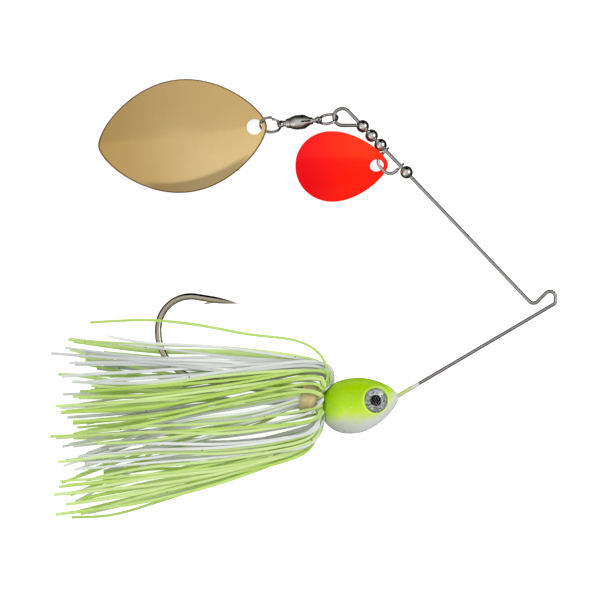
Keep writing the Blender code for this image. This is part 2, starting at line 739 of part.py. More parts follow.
def make_barrel():
    """The swivel's body: a hollow shell with an eye at one end and a slot in its side."""
    chain = chain_frame(0.0, WELDED_TILT)
    shape = turned(BARREL_OUTSIDE + BARREL_INSIDE, along_x(chain, BARREL_START), 20)
    pivot = chain @ Vector((WELDED_RING_AT + WELDED_RING_R, 0, 0))
    barrel = add_object("swivel_barrel", *shape, NICKEL, pivot)
    across = chain.to_3x3() @ Vector((0, 1, 0))
    hole_at = chain @ Vector((BARREL_EYE_AT, 0, 0))
    tab = cylinder(hole_at, across, BARREL_EYE_R, BARREL_EYE_THICK, 20)
    boolean(barrel, add_tool("barrel_eye", *tab), "UNION")
    neck = [chain @ Vector((BARREL_EYE_AT + 0.7, 0, 0)), chain @ Vector((BARREL_START + 0.5, 0, 0))]
    boolean(barrel, add_tool("barrel_neck", *tube(neck, BARREL_NECK_R, 12)), "UNION")
    hole = cylinder(hole_at, across, BARREL_EYE_HOLE, 3.0, 16)
    boolean(barrel, add_tool("barrel_eye_hole", *hole), "DIFFERENCE")
    slot = box_shape(chain_frame(BARREL_START + SLOT_FROM), (0, SLOT_LENGTH), SLOT_WIDTH / 2, SLOT_HIGH)
    boolean(barrel, add_tool("barrel_slot", *slot), "DIFFERENCE")
    return barrel


def box_shape(frame, along, half, high):
    """A box with its ends at the given places along X and between two heights on the frame's Z."""
    rings = []
    for x in along:
        ring = [(-half, high[0]), (half, high[0]), (half, high[1]), (-half, high[1])]
        rings.append([frame @ Vector((x, y, z)) for y, z in ring])
    return skin(rings)


def make_rotor():
    """The turning half of the swivel: flange among the balls, shaft through the shell and an eye outside."""
    chain = chain_frame(0.0, SPLIT_TILT)
    shape = turned(ROTOR_OUTSIDE, along_x(chain, BARREL_START), 16)
    middle = chain @ Vector((BARREL_START + BARREL_LENGTH / 2, 0, 0))
    rotor = add_object("swivel_rotor", *shape, NICKEL, middle)
    across = chain.to_3x3() @ Vector((0, 1, 0))
    hole_at = chain @ Vector((ROTOR_EYE_AT, 0, 0))
    tab = cylinder(hole_at, across, ROTOR_EYE_R, ROTOR_EYE_THICK, 20)
    boolean(rotor, add_tool("rotor_eye", *tab), "UNION")
    hole = cylinder(hole_at, across, ROTOR_EYE_HOLE, 3.0, 16)
    boolean(rotor, add_tool("rotor_eye_hole", *hole), "DIFFERENCE")
    return rotor


def make_ball(index):
    """One of the bearing balls between the rotor's flange and the shell's end."""
    chain = chain_frame(0.0)
    turn = 2 * math.pi * index / BALLS
    spot = Vector((BARREL_START + BALLS_AT, BALL_CIRCLE_R * math.cos(turn), BALL_CIRCLE_R * math.sin(turn)))
    centre = chain @ spot
    profile = []
    rows = 6
    for k in range(rows):
        t = -math.pi / 2 + math.pi * (k + 0.5) / rows
        profile.append((BALL_R * math.cos(t), BALL_R * math.sin(t)))
    name = "swivel_ball_%d" % (index + 1)
    return add_object(name, *turned(profile, axis_frame(centre, Vector((0, 0, 1))), 8), NICKEL, centre)


def make_split_ring():
    """Two close turns of fine wire."""
    frame = chain_frame(SPLIT_RING_AT, SPLIT_TILT)
    count = 44
    path = []
    for k in range(count + 1):
        turn = 2 * math.pi * SPLIT_TURNS * k / count + SPLIT_START
        height = SPLIT_PITCH * (2 * k / count - 1)
        path.append(frame @ Vector((SPLIT_RING_R * math.cos(turn), SPLIT_RING_R * math.sin(turn), height)))
    pivot = chain_frame(SPLIT_RING_AT - SPLIT_RING_R).translation
    return add_object("split_ring", *tube(path, SPLIT_WIRE_R, 6), NICKEL, pivot)


def make_rear_blade():
    frame = blade_frame(REAR_TIP, REAR_HEADING, 0.0, math.pi)
    shape = leaf(frame, REAR_LENGTH, REAR_HALF_WIDTH, 1.0, 1.1, REAR_CUP, REAR_THICK, 40, 6)
    pivot = chain_frame(SPLIT_RING_AT + SPLIT_RING_R).translation
    blade = add_object("rear_blade", *shape, GOLD, pivot)
    hole = frame @ Vector((REAR_HOLE_AT, 0, 0))
    tool = add_tool("rear_hole", *cylinder(hole, Vector((0, 0, 1)), REAR_HOLE_R, 6, 24))
    boolean(blade, tool, "DIFFERENCE")
    return blade


def build():
    for old in list(bpy.data.objects):
        bpy.data.objects.remove(old, do_unlink=True)
    make_wire()
    make_hook()
    make_head()
    make_eye("upper", 1)
    make_eye("lower", -1)
    make_band()
    for index in range(OUTER_BUNDLES):
        make_outer_bundle(index)
    for index in range(len(INNER_BUNDLES)):
        make_inner_bundle(index)
    for index in range(SPACER_BEADS):
        make_bead("spacer_bead_%d" % (index + 1), BEAD_FIRST + BEAD_PITCH * index)
    make_bead("stop_bead", STOP_BEAD_AT)
    make_clevis()
    make_front_blade()
    make_welded_ring()
    make_barrel()
    make_rotor()
    for index in range(BALLS):
        make_ball(index)
    make_split_ring()
    make_rear_blade()


build()
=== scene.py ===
import random
from math import asin, ceil, copysign, cos, pi, radians, sin, sqrt, tan

import bpy
from mathutils import Matrix, Vector


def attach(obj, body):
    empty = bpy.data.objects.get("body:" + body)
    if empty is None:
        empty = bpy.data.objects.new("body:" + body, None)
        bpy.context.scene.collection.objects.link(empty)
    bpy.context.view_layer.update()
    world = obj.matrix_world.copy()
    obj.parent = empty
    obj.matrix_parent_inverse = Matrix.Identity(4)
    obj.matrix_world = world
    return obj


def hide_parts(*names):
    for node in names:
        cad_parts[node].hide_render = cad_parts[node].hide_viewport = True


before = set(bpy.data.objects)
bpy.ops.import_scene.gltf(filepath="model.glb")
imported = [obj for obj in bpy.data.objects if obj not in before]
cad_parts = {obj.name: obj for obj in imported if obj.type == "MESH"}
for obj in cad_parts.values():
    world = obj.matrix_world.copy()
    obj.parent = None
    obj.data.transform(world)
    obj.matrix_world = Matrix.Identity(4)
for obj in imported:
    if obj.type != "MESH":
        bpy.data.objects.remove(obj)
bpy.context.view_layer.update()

MM = 0.001

# Camera straight above the lure, which lies in the plane of its wire
VIEW_WIDTH = 150.0
CAMERA_HEIGHT = 700.0
SENSOR = 36.0
FLOOR_HALF = 3000.0

# Wire form
WIRE_Z = 5.9
WIRE_R = 0.445
WIRE_START_X = 21.5
LEG_POINT = Vector((45.0, -11.9))
LEG_ANGLE = radians(30.5)
ARM_POINT = Vector((28.475, 30.0))
ARM_ANGLE = radians(133.6)
TIE_X = 63.85
TIE_RETURN = Vector((61.425, 1.7))
TIE_SLANT = radians(225.0)
TIE_CORNER_R = 0.9
TIE_TOP_R = 1.4
TIE_DIP_R = 1.37
ARM_TOP_Y = 47.2
LOOP_R = 2.1
LOOP_TAIL = 3.5
SLEEVE_R = 0.55  # paint that has run up the wire from the nose
SLEEVE_ENDS = (22.6, 29.7)

# Hook
HOOK_R = 0.83
HOOK_START_X = 8.0
HOOK_EYE = Vector((11.25, -26.0))
HOOK_SHANK_ANGLE = radians(170.15)
HOOK_BACK_X = -35.45
HOOK_POINT_LINE_Y = 2.35
HOOK_POINT_ANGLE = radians(-9.2)
HOOK_BEND_R = 11.8
HOOK_CROWN_R = 8.2
HOOK_TIP_X = -15.4
HOOK_TIP_R = 0.06
HOOK_TAPER = 6.0
BARB_FROM_TIP = 7.6
BARB_LENGTH = 2.2
BARB_OVERHANG = 0.9
BARB_RISE = 1.5

# Head and eyes
HEAD_REAR_X = 5.1
HEAD_LENGTH = 19.6
HEAD_HALF_HEIGHT = 6.95
HEAD_WIDTH_RATIO = 0.835
HEAD_WIDEST = 0.44
HEAD_AXIS_Y = -26.7
HEAD_NOSE_RISE = 2.3
NECK_R = 2.1
KEEPER_END_X = -9.2
KEEPER_END_R = 1.35
KEEPER_TAPER = (9.6, 6.0)  # where it starts and ends, from the keeper's end
KEEPER_BARBS = (5.6, 3.4, 1.2)
EYE_CENTRE = Vector((18.75, -24.95))
EYE_TILT = radians(20.0)
EYE_FLOOR = 3.95
EYE_R = 3.05
SOCKET_DEPTH = 4.0
FOIL_BASE = 0.06
FOIL_TOP = 0.31
LENS_BASE = 0.37
LENS_WALL_TOP = 0.62
LENS_DOME = 0.55
PUPIL_R = 1.42

# Skirt
BAND_R = 3.65
BAND_BORE = 2.25
BAND_CENTRE_X = 2.2
BAND_LENGTH = 4.0
BAND_EDGE = 0.14
SKIRT_SEED = 5
SILICONE_ALPHA = 0.84
OUTER_BUNDLES = 10
OUTER_STRANDS = 8
INNER_ENDS = ((90.0, -36.0), (172.0, -45.0), (-90.0, -27.0), (-25.0, -18.0))  # angle, end's Y
INNER_STRANDS = 8
INNER_SPREAD = 11.0  # degrees between two neighbours
INNER_TIP_STEP = 1.6
ROOT_R = 2.9
INNER_ROOT_R = 2.7
PARTING = (0.4, 0.56)  # above and below; under 1, strands part and show the collar
FOLD_X = 4.7
FOLD_AHEAD = 2.8  # strands above the shank lean this much further over the head
SHOULDER_X = 0.8
SHOULDER_AHEAD = 3.6  # and so do their shoulders
SHOULDER_UP = 9.0
SHOULDER_DOWN = 13.0
SHOULDER_HIGH = 4.5
FAN_TOP_Y = -13.2
FAN_STEP_Y = 9.35
STRAND_HALF_WIDTH = 0.38
STRAND_HALF_THICK = 0.17
LOOSE_HALF_WIDTH = 0.36
LOOSE_HALF_THICK = 0.2
LOOSE_STRANDS = (  # bundle, colour, shade and route
    (0, 0, 0.8, (  # it stands off above the others
        (4.6, -22.6, 8.4), (6.9, -19.0, 9.2), (5.0, -13.6, 9.0), (-1.0, -10.1, 8.6),
        (-13.0, -8.5, 8.2), (-27.0, -6.0, 7.9), (-39.0, -5.0, 7.7), (-52.3, -5.6, 7.5),
    )),
    (2, 0, 0.1, (  # two lie across the collar's upper face
        (4.4, -24.4, 8.9), (5.7, -23.8, 9.9), (4.2, -22.9, 10.5), (1.0, -22.3, 10.4),
        (-6.0, -22.0, 8.9), (-18.0, -22.0, 8.3), (-34.0, -22.6, 7.9), (-52.0, -21.4, 7.3),
    )),
    (2, 1, 0.1, (
        (4.4, -25.6, 8.9), (5.7, -24.6, 9.9), (4.4, -26.4, 10.3), (1.2, -28.4, 10.0),
        (-6.0, -30.4, 8.8), (-18.0, -33.0, 8.2), (-34.0, -36.6, 7.8), (-54.0, -39.5, 7.2),
    )),
    (4, 0, 0.8, (  # it stands off below the others
        (4.6, -27.8, 6.6), (5.6, -31.0, 6.4), (2.2, -36.4, 6.0), (-7.0, -40.6, 5.4),
        (-21.8, -45.9, 4.9), (-34.8, -50.3, 4.5), (-46.8, -53.8, 4.2), (-57.2, -54.5, 4.0),
    )),
)

# Beads and clevis
BEAD_R = 1.5875
BEAD_BORE = 0.51
BEAD_LIP = 0.12
BEAD_FIRST = 5.2
BEAD_PITCH = 3.23
STOP_BEAD_AT = 21.08
CLEVIS_AT = 16.3
CLEVIS_HALF = 2.75
CLEVIS_DEPTH = 3.85
CLEVIS_BEND_R = 2.1
CLEVIS_R = 0.39
CLEVIS_SWING = radians(3.0)
EAR_R = 1.2
EAR_THICK = 0.5
EAR_EDGE = 0.14
EAR_BORE = 0.52

# Blades; a hole is its distance from the tip and its radius
HOLE_CUT = 6.0
RIM_BULGE = 0.05
FRONT_TIP = Vector((21.93, 33.95, 5.5))
FRONT_LENGTH = 23.1
FRONT_HALF_WIDTH = 9.55
FRONT_SKEW = 0.75
FRONT_CUP = (2.3, 2, 1.4)  # depth, and the powers that shape it
FRONT_THICK = 0.4
FRONT_HOLE = (2.72, 1.7)
FRONT_PITCH = radians(3.5)
FRONT_HEADING = radians(182.3)
FRONT_ROLL = radians(-26.0)
REAR_TIP = Vector((-8.38, 43.93, 2.8))
REAR_LENGTH = 42.6
REAR_HALF_WIDTH = 14.2
REAR_HEADING = radians(187.4)
REAR_CUP = (2.4, 2.2, 1.05)
REAR_THICK = 0.45
REAR_HOLE = (3.12, 1.94)

# Blade chain; what ends in AT is a distance along it
CHAIN_START = Vector((8.494, 45.375, WIRE_Z))
CHAIN_HEADING = radians(185.3)
CHAIN_DROP = radians(10.0)
WELDED_RING_AT = 1.51
WELDED_RING_R = 2.35
WELDED_WIRE_R = 0.35
WELDED_TILT = radians(-58.0)
BARREL_START = 5.45
BARREL_OUTSIDE = (  # radius and distance from the barrel's start
    (0.9, 0.0), (0.95, 0.6), (1.7, 1.95), (1.82, 2.3), (1.82, 4.3), (1.47, 5.5), (1.35, 5.6), (1.12, 6.7),
)
BARREL_INSIDE = ((0.58, 6.7), (0.58, 5.5), (1.22, 5.4), (1.32, 4.2), (1.32, 2.7), (0.3, 2.3))
BARREL_EYE_AT = 3.98
BARREL_EYE = ((0.8, -0.45), (0.92, -0.3), (0.92, 0.3), (0.8, 0.45))
BARREL_EYE_BORE = 0.55
BARREL_STEM = (4.6, 5.95)
BARREL_STEM_R = 0.55
SLOT_FROM = 0.35  # from the barrel's start
SLOT_LENGTH = 2.3
SLOT_HALF_WIDTH = 0.21
SLOT_HEIGHTS = (-3.0, -0.2)
ROTOR_SHAFT = (
    (0.02, 3.05), (1.12, 3.05), (1.12, 3.75), (0.45, 3.8), (0.45, 6.75), (0.8, 6.8), (0.8, 7.1), (0.6, 7.5),
    (0.02, 7.5),
)
ROTOR_EYE_AT = 13.53
ROTOR_EYE = ((0.82, -0.43), (0.99, -0.3), (0.99, 0.3), (0.82, 0.43))
ROTOR_EYE_BORE = 0.66
EYE_CUT = 3.0
SPLIT_RING_AT = 16.26
SPLIT_RING_R = 2.61
SPLIT_WIRE_R = 0.2
SPLIT_PITCH = 0.44
SPLIT_TILT = radians(51.0)
SPLIT_START_ANGLE = radians(110.0)


# ---- shapes, in millimetres

def flat(x, y, z=WIRE_Z):
    return Vector((x, y, z))


def raised(spot):
    """A point of the plan, lifted into the wire's plane."""
    return flat(spot.x, spot.y)


def polar(radius, turn, height=0.0):
    return Vector((radius * cos(turn), radius * sin(turn), height))


def heading(angle):
    return Vector((cos(angle), sin(angle)))


def meet(point_a, angle_a, point_b, angle_b):
    """Where two lines in the wire's plane cross."""
    along_a, along_b = heading(angle_a), heading(angle_b)
    gap = point_b - point_a
    scale = along_a.x * along_b.y - along_a.y * along_b.x
    return point_a + along_a * ((gap.x * along_b.y - gap.y * along_b.x) / scale)


def rounded(corners, step=0.12):
    """A path through (point, bend radius) corners, with each bend as an arc."""
    path = [corners[0][0]]
    for i in range(1, len(corners) - 1):
        corner, radius = corners[i]
        back = (corners[i - 1][0] - corner).normalized()
        ahead = (corners[i + 1][0] - corner).normalized()
        inside = back.angle(ahead)
        turn = pi - inside
        centre = corner + (back + ahead).normalized() * (radius / sin(inside / 2))
        start = corner + back * (radius / tan(inside / 2)) - centre
        axis = ahead.cross(back).normalized()
        count = max(3, ceil(turn / step))
        for k in range(count + 1):
            path.append(centre + Matrix.Rotation(turn * k / count, 3, axis) @ start)
    path.append(corners[-1][0])
    return path


def frames(path, closed=False):
    """Tangent, side and upright at each point of a path, carried along without twisting."""
    count = len(path)
    tangents = []
    for i in range(count):
        before = path[i - 1] if closed or i > 0 else path[i]
        after = path[(i + 1) % count] if closed or i < count - 1 else path[i]
        tangents.append((after - before).normalized())
    side = tangents[0].orthogonal().normalized()
    found = []
    for tangent in tangents:
        side = (side - tangent * side.dot(tangent)).normalized()
        found.append((tangent, side, tangent.cross(side)))
    return found


def skin(rings, closed=False, capped=True):
    """Points, faces and corner UVs (millimetres along, millimetres around) of joined rings."""
    size = len(rings[0])
    points = [p for ring in rings for p in ring]
    faces, corners = [], []
    spans = len(rings) if closed else len(rings) - 1
    along = [0.0]
    for i in range(spans):
        along.append(along[-1] + (rings[(i + 1) % len(rings)][0] - rings[i][0]).length)
    middle = rings[len(rings) // 2]
    around = max(0.01, sum((middle[k] - middle[k - 1]).length for k in range(size)))
    for i in range(spans):
        low, high = i * size, ((i + 1) % len(rings)) * size
        for k in range(size):
            n = (k + 1) % size
            v0, v1 = around * k / size, around * (k + 1) / size
            faces.append((low + k, low + n, high + n, high + k))
            corners.append(((along[i], v0), (along[i], v1), (along[i + 1], v1), (along[i + 1], v0)))
    if capped and not closed:
        for ring, place in ((tuple(reversed(range(size))), along[0]),
                            (tuple(range(len(points) - size, len(points))), along[-1])):
            faces.append(ring)
            corners.append(tuple((place, 0.0) for _ in ring))
    return points, faces, corners


def circle(count):
    return [2 * pi * k / count for k in range(count)]


def tube(path, radius, sides=24, closed=False):
    """A round bar along a path; the radius is a number or one number for each point."""
    radii = radius if isinstance(radius, list) else [radius] * len(path)
    rings = []
    for point, size, (_, side, up) in zip(path, radii, frames(path, closed)):
        rings.append([point + (side * cos(t) + up * sin(t)) * size for t in circle(sides)])
    return skin(rings, closed)


def turned(profile, where, sides=64, closed=False):
    """A shape turned about a frame's Z, from (radius, height) points that run upwards on the outside."""
    rings = [[where @ polar(radius, t, height) for t in circle(sides)] for radius, height in profile]
    return skin(rings, closed)


def softened(profile, amount=0.12):
    """The profile with each inner corner cut by two short steps, so that edges catch light."""
    found = [profile[0]]
    for before, corner, after in zip(profile, profile[1:], profile[2:]):
        c = Vector(corner)
        for other in (before, after):
            leg = Vector(other) - c
            found.append(tuple(c + leg.normalized() * min(amount, leg.length * 0.4)))
    found.append(profile[-1])
    return found


def axis_frame(point, along):
    """A frame at a point with its Z along the given direction."""
    return Matrix.Translation(point) @ along.to_track_quat("Z", "Y").to_matrix().to_4x4()


def cylinder(point, along, radius, length, sides=48):
    half = length / 2
    return turned([(radius, -half), (radius, half)], axis_frame(point, along), sides)


def smooth_path(points, per_span):
    """A Catmull-Rom curve through the points."""
    path = []
    for i in range(len(points) - 1):
        a, b = points[max(i - 1, 0)], points[i]
        c, d = points[i + 1], points[min(i + 2, len(points) - 1)]
        for k in range(per_span):
            t = k / per_span
            path.append(0.5 * (2 * b + (c - a) * t + (2 * a - 5 * b + 4 * c - d) * t * t
                               + (3 * b - a - 3 * c + d) * t**3))
    path.append(points[-1])
    return path


def new_object(name, data):
    made = bpy.data.objects.new(name, data)
    bpy.context.scene.collection.objects.link(made)
    return made


def add(name, shape, looks, smooth=35.0, kinds=None):
    """A mesh object from a shape in millimetres; kinds gives each face's material number."""
    points, faces, corners = shape
    mesh = bpy.data.meshes.new(name)
    mesh.from_pydata([p * MM for p in points], [], faces)
    for look in looks:
        mesh.materials.append(look)
    layer = mesh.uv_layers.new(name="UVMap")
    layer.data.foreach_set("uv", [x for face in corners for corner in face for x in corner])
    if kinds:
        mesh.polygons.foreach_set("material_index", kinds)
    mesh.shade_smooth()
    mesh.set_sharp_from_angle(angle=radians(smooth))
    return new_object(name, mesh)


def cut(target, shape, operation="DIFFERENCE", look=None):
    """Applies an exact Boolean with a shape that isn't kept; look is for the faces that it leaves."""
    tool = add("tool", shape, [look or target.data.materials[0]])
    step = target.modifiers.new("cut", "BOOLEAN")
    step.material_mode = "TRANSFER" if look else "INDEX"
    step.operation = operation
    step.solver = "EXACT"
    step.object = tool
    graph = bpy.context.evaluated_depsgraph_get()
    mesh = bpy.data.meshes.new_from_object(target.evaluated_get(graph))
    target.modifiers.clear()
    target.data = mesh
    bpy.data.objects.remove(tool)
    mesh.set_sharp_from_angle(angle=radians(35.0))


def place(obj, body, slot, *nodes):
    """The piece moves with a body and stands for CAD nodes; slot is not used."""
    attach(obj, body)
    if nodes:
        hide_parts(*nodes)
    return obj


# ---- materials

def srgb(red, green, blue):
    """A linear colour with alpha from 0 to 255 values."""
    found = []
    for value in (red, green, blue):
        share = value / 255.0
        found.append(share / 12.92 if share <= 0.04045 else ((share + 0.055) / 1.055) ** 2.4)
    return (*found, 1.0)


def feed(tree, value, socket):
    """Links a node's output to a socket, or sets the socket to a constant."""
    if isinstance(value, bpy.types.NodeSocket):
        tree.links.new(value, socket)
    else:
        socket.default_value = value


def add_node(tree, kind, inputs, output=0, **settings):
    """Adds a shader node with its settings and inputs, and returns one of its outputs."""
    made = tree.nodes.new("ShaderNode" + kind)
    for key, value in settings.items():
        setattr(made, key, value)
    for key, value in inputs.items():
        feed(tree, value, made.inputs[key])
    return made.outputs[output]


def darker(colour, share):
    return tuple(c * share for c in colour[:3]) + (1.0,)


class Look:
    """A Principled material and short ways to add nodes to it."""

    def __init__(self, name, colour, rough, metal=0.0, **more):
        self.material = bpy.data.materials.new(name)
        self.material.use_nodes = True
        self.tree = self.material.node_tree
        self.shader = self.tree.nodes["Principled BSDF"]
        self.set("Base Color", colour)
        self.set("Roughness", rough)
        self.set("Metallic", metal)
        for socket, value in more.items():
            self.set(socket.replace("_", " "), value)

    def set(self, socket, value):
        feed(self.tree, value, self.shader.inputs[socket])

    def colour(self, value):
        self.set("Base Color", value)

    def rough(self, value):
        self.set("Roughness", value)

    def node(self, kind, inputs, output=0, **settings):
        return add_node(self.tree, kind, inputs, output, **settings)

    def coords(self, kind="Object", stretch=(1, 1, 1)):
        """Object coordinates, or UVs, in millimetres times the stretch."""
        unit = 1.0 if kind == "UV" else 1 / MM
        raw = self.node("TexCoord", {}, kind)
        return self.node("Mapping", {"Vector": raw, "Scale": tuple(unit * s for s in stretch)})

    def noise(self, coords, scale, detail=3.0, rough=0.55):
        inputs = {"Vector": coords, "Scale": scale, "Detail": detail, "Roughness": rough}
        return self.node("TexNoise", inputs, "Fac")

    def cells(self, coords, scale, output="Distance"):
        return self.node("TexVoronoi", {"Vector": coords, "Scale": scale}, output)

    def remap(self, value, low, high, to_low=0.0, to_high=1.0, smooth=False):
        inputs = {"Value": value, "From Min": low, "From Max": high, "To Min": to_low, "To Max": to_high}
        return self.node("MapRange", inputs, interpolation_type="SMOOTHSTEP" if smooth else "LINEAR")

    def math(self, operation, a, b=0.0):
        return self.node("Math", {0: a, 1: b}, operation=operation)

    def plus(self, a, b):
        return self.math("ADD", a, b)

    def minus(self, a, b):
        return self.math("SUBTRACT", a, b)

    def times(self, a, b):
        return self.math("MULTIPLY", a, b)

    def highest(self, a, b):
        return self.math("MAXIMUM", a, b)

    def mix(self, share, a, b):
        return self.node("Mix", {0: share, 6: a, 7: b}, 2, data_type="RGBA")

    def axis(self, coords, letter):
        return self.node("SeparateXYZ", {"Vector": coords}, letter)

    def from_eye(self, x, y, shift):
        """Distance from the eye's centre, seen from above and shifted along X."""
        spot = self.node("CombineXYZ", {"X": x, "Y": y})
        centre = (EYE_CENTRE.x + shift, EYE_CENTRE.y, 0)
        return self.node("VectorMath", {0: spot, 1: centre}, "Value", operation="DISTANCE")

    def bump(self, height, strength, distance):
        """Adds a bump of the given depth in millimetres."""
        inputs = {"Height": height, "Strength": strength, "Distance": distance * MM}
        self.set("Normal", self.node("Bump", inputs))


def drawn_metal(name, colour, rough, shine=0.5):
    """Metal with fine draw lines along the piece and a few dull patches."""
    look = Look(name, colour, rough, 1.0)
    lines = look.noise(look.coords("UV", (0.25, 9.0, 1)), 2.0, 5.0, 0.6)
    patches = look.noise(look.coords(), 0.35)
    look.rough(look.remap(look.plus(lines, patches), 0.6, 1.4, rough * 0.75, rough * 1.35))
    look.colour(look.mix(look.remap(lines, 0.38, 0.72), colour, darker(colour, shine)))
    look.bump(lines, 0.25, 0.02)
    return look.material


def polished_metal(name, colour, rough):
    """Plated metal with faint smudges, fine wiping marks and rare small pits."""
    look = Look(name, colour, rough, 1.0)
    at = look.coords()
    smudge = look.noise(at, 0.45)
    marks = look.noise(look.coords("Object", (2.0, 14.0, 6.0)), 1.5, 4.0)
    pits = look.remap(look.cells(at, 1.6), 0.05, 0.09)
    look.rough(look.remap(look.plus(smudge, marks), 0.6, 1.4, rough * 0.6, rough * 1.6))
    shaded = look.mix(look.remap(smudge, 0.35, 0.7, 0.0, 0.35), colour, darker(colour, 0.78))
    look.colour(look.mix(look.remap(pits, 0.0, 1.0, 0.25, 0.0), shaded, (0.12, 0.11, 0.1, 1.0)))
    look.bump(marks, 0.12, 0.01)
    return look.material


def make_gold():
    """Gold plate: rolled sheet with faint grain along it, and painted shade that makes it darker and browner
    towards the tail and the upper edge.
    """
    look = Look("gold_plate", srgb(232, 203, 146), 0.07, 1.0)
    at = look.coords()
    # Painted shade: darker, browner gold towards the tail and towards the upper edge.
    tail_shade_painted = look.remap(look.axis(at, "X"), -52.0, -18.0, 1.0, 0.0, smooth=True)
    upper = look.remap(look.axis(at, "Y"), 32.0, 50.0, 0.0, 0.6, smooth=True)
    cloud = look.noise(at, 0.12)
    grain = look.noise(look.coords("Object", (0.4, 12.0, 6.0)), 1.2, 5.0)
    painted_shade = look.times(look.highest(tail_shade_painted, upper), 0.9)
    tint = look.mix(painted_shade, srgb(244, 214, 154), srgb(224, 184, 112))
    tint = look.mix(look.remap(cloud, 0.4, 0.7, 0.0, 0.12), tint, srgb(214, 176, 112))
    fine = look.remap(grain, 0.4, 0.75, 0.0, 0.08)
    look.colour(look.mix(fine, tint, srgb(165, 128, 74)))
    look.rough(look.remap(look.plus(cloud, grain), 0.7, 1.4, 0.045, 0.1))
    look.bump(grain, 0.04, 0.005)
    return look.material


def make_red():
    """Red enamel under a clear coat with a faint painted glow; painted shade leaves it crimson at the wide
    end and low down, and painted highlight turns it orange by the hole and along the top.
    """
    # The emission is a painted glow on the red, the same under any light.
    look = Look("red_enamel", srgb(245, 28, 20), 0.45, Coat_Weight=0.06, Coat_Roughness=0.15, Coat_IOR=1.4,
                Specular_IOR_Level=0.04, Emission_Color=srgb(255, 12, 8), Emission_Strength=0.12)
    at = look.coords()
    # Painted light and shade: crimson towards the wide end and below, orange towards the hole and above.
    across = look.remap(look.axis(at, "X"), -1.0, 17.0, smooth=True)
    upper = look.remap(look.axis(at, "Y"), 34.2, 36.8, smooth=True)
    peel = look.noise(at, 2.6)
    speck = look.remap(look.cells(at, 1.1), 0.03, 0.07, 0.5, 0.0)
    low = look.mix(across, srgb(222, 4, 20), srgb(252, 34, 12))
    high = look.mix(across, srgb(224, 26, 28), srgb(255, 56, 24))
    base = look.mix(look.times(upper, 0.9), low, high)
    base = look.mix(look.remap(peel, 0.4, 0.75, 0.0, 0.10), base, srgb(190, 8, 10))
    look.colour(look.mix(speck, base, srgb(150, 8, 10)))
    look.rough(look.remap(peel, 0.35, 0.7, 0.32, 0.46))
    look.bump(peel, 0.12, 0.02)
    return look.material


def make_head_paint():
    """Chartreuse above and behind, fading to white on the belly and the nose, with glitter in it; painted
    shade greys the belly towards the rear.
    """
    look = Look("head_paint", srgb(167, 213, 15), 0.32, Coat_Weight=0.35, Coat_Roughness=0.06, Coat_IOR=1.5,
                Specular_IOR_Level=0.25)
    at = look.coords()
    x, y = look.axis(at, "X"), look.axis(at, "Y")
    cloud = look.noise(at, 0.5)
    ahead = look.math("POWER", look.highest(look.minus(x, 10.0), 0.0), 4.0)
    line = look.plus(look.times(ahead, 0.0002), look.remap(cloud, 0.3, 0.7, -30.3, -29.1))
    height = look.minus(y, line)
    paint = look.node("ValToRGB", {"Fac": look.remap(height, -2.4, 6.0)})
    stops = ((0.0, srgb(206, 209, 208)), (0.17, srgb(207, 213, 198)), (0.3, srgb(198, 217, 134)),
             (0.48, srgb(186, 219, 62)), (0.75, srgb(164, 210, 8)), (1.0, srgb(154, 200, 2)))
    elements = paint.node.color_ramp.elements
    elements.remove(elements[1])
    elements[0].color = stops[0][1]
    for position, colour in stops[1:]:
        elements.new(position).color = colour
    rear = look.remap(x, 6.0, 10.5, 0.75, 0.0, smooth=True)
    low = look.remap(height, -1.5, 1.5)
    base = look.mix(look.times(rear, low), paint, srgb(140, 194, 0))
    # Painted shade: the white of the belly greys towards the rear.
    shaded = look.times(look.remap(x, 7.0, 17.0, 0.6, 0.0), look.minus(1.0, low))
    base = look.mix(shaded, base, srgb(164, 174, 154))
    off_ring = look.math("ABSOLUTE", look.times(look.minus(look.from_eye(x, y, 0.25), 3.3), 2.2))
    ring = look.minus(1.0, look.math("MINIMUM", off_ring, 1.0))
    base = look.mix(look.times(ring, 0.6), base, srgb(214, 238, 118))
    glitter = look.cells(at, 1.15)
    kept = look.remap(look.axis(look.cells(at, 1.15, "Color"), "X"), 0.55, 0.6)
    spark = look.times(look.remap(glitter, 0.10, 0.15, 1.0, 0.0), kept)
    base = look.mix(look.times(spark, 0.8), base, srgb(246, 250, 236))
    dots = look.remap(look.cells(at, 0.62), 0.05, 0.075, 1.0, 0.0)
    dark = look.times(dots, look.remap(look.axis(look.cells(at, 0.62, "Color"), "Y"), 0.5, 0.55))
    look.colour(look.mix(look.times(dark, 0.85), base, srgb(60, 82, 20)))
    look.set("Metallic", look.times(spark, 0.6))
    look.rough(look.remap(cloud, 0.3, 0.7, 0.26, 0.4))
    look.bump(look.noise(at, 1.3), 0.12, 0.03)
    return look.material


def make_sleeve_paint():
    """The run of paint on the wire: yellow-green by the nose and white at its end."""
    look = Look("sleeve_paint", srgb(190, 214, 100), 0.35, Coat_Weight=0.5, Coat_Roughness=0.1)
    at = look.coords()
    ragged = look.plus(look.axis(at, "X"), look.remap(look.noise(at, 1.1), 0.3, 0.7, -0.7, 0.7))
    off_leg = look.minus(look.axis(at, "Y"), look.times(look.axis(at, "X"), 0.589))
    side = look.remap(off_leg, -38.9, -38.0)
    base = look.mix(look.remap(ragged, 27.0, 28.6), srgb(166, 200, 48), srgb(206, 207, 204))
    look.colour(look.mix(side, srgb(186, 190, 180), base))
    look.rough(look.remap(look.noise(at, 2.0), 0.3, 0.7, 0.28, 0.45))
    look.bump(look.noise(at, 1.5), 0.3, 0.05)
    return look.material


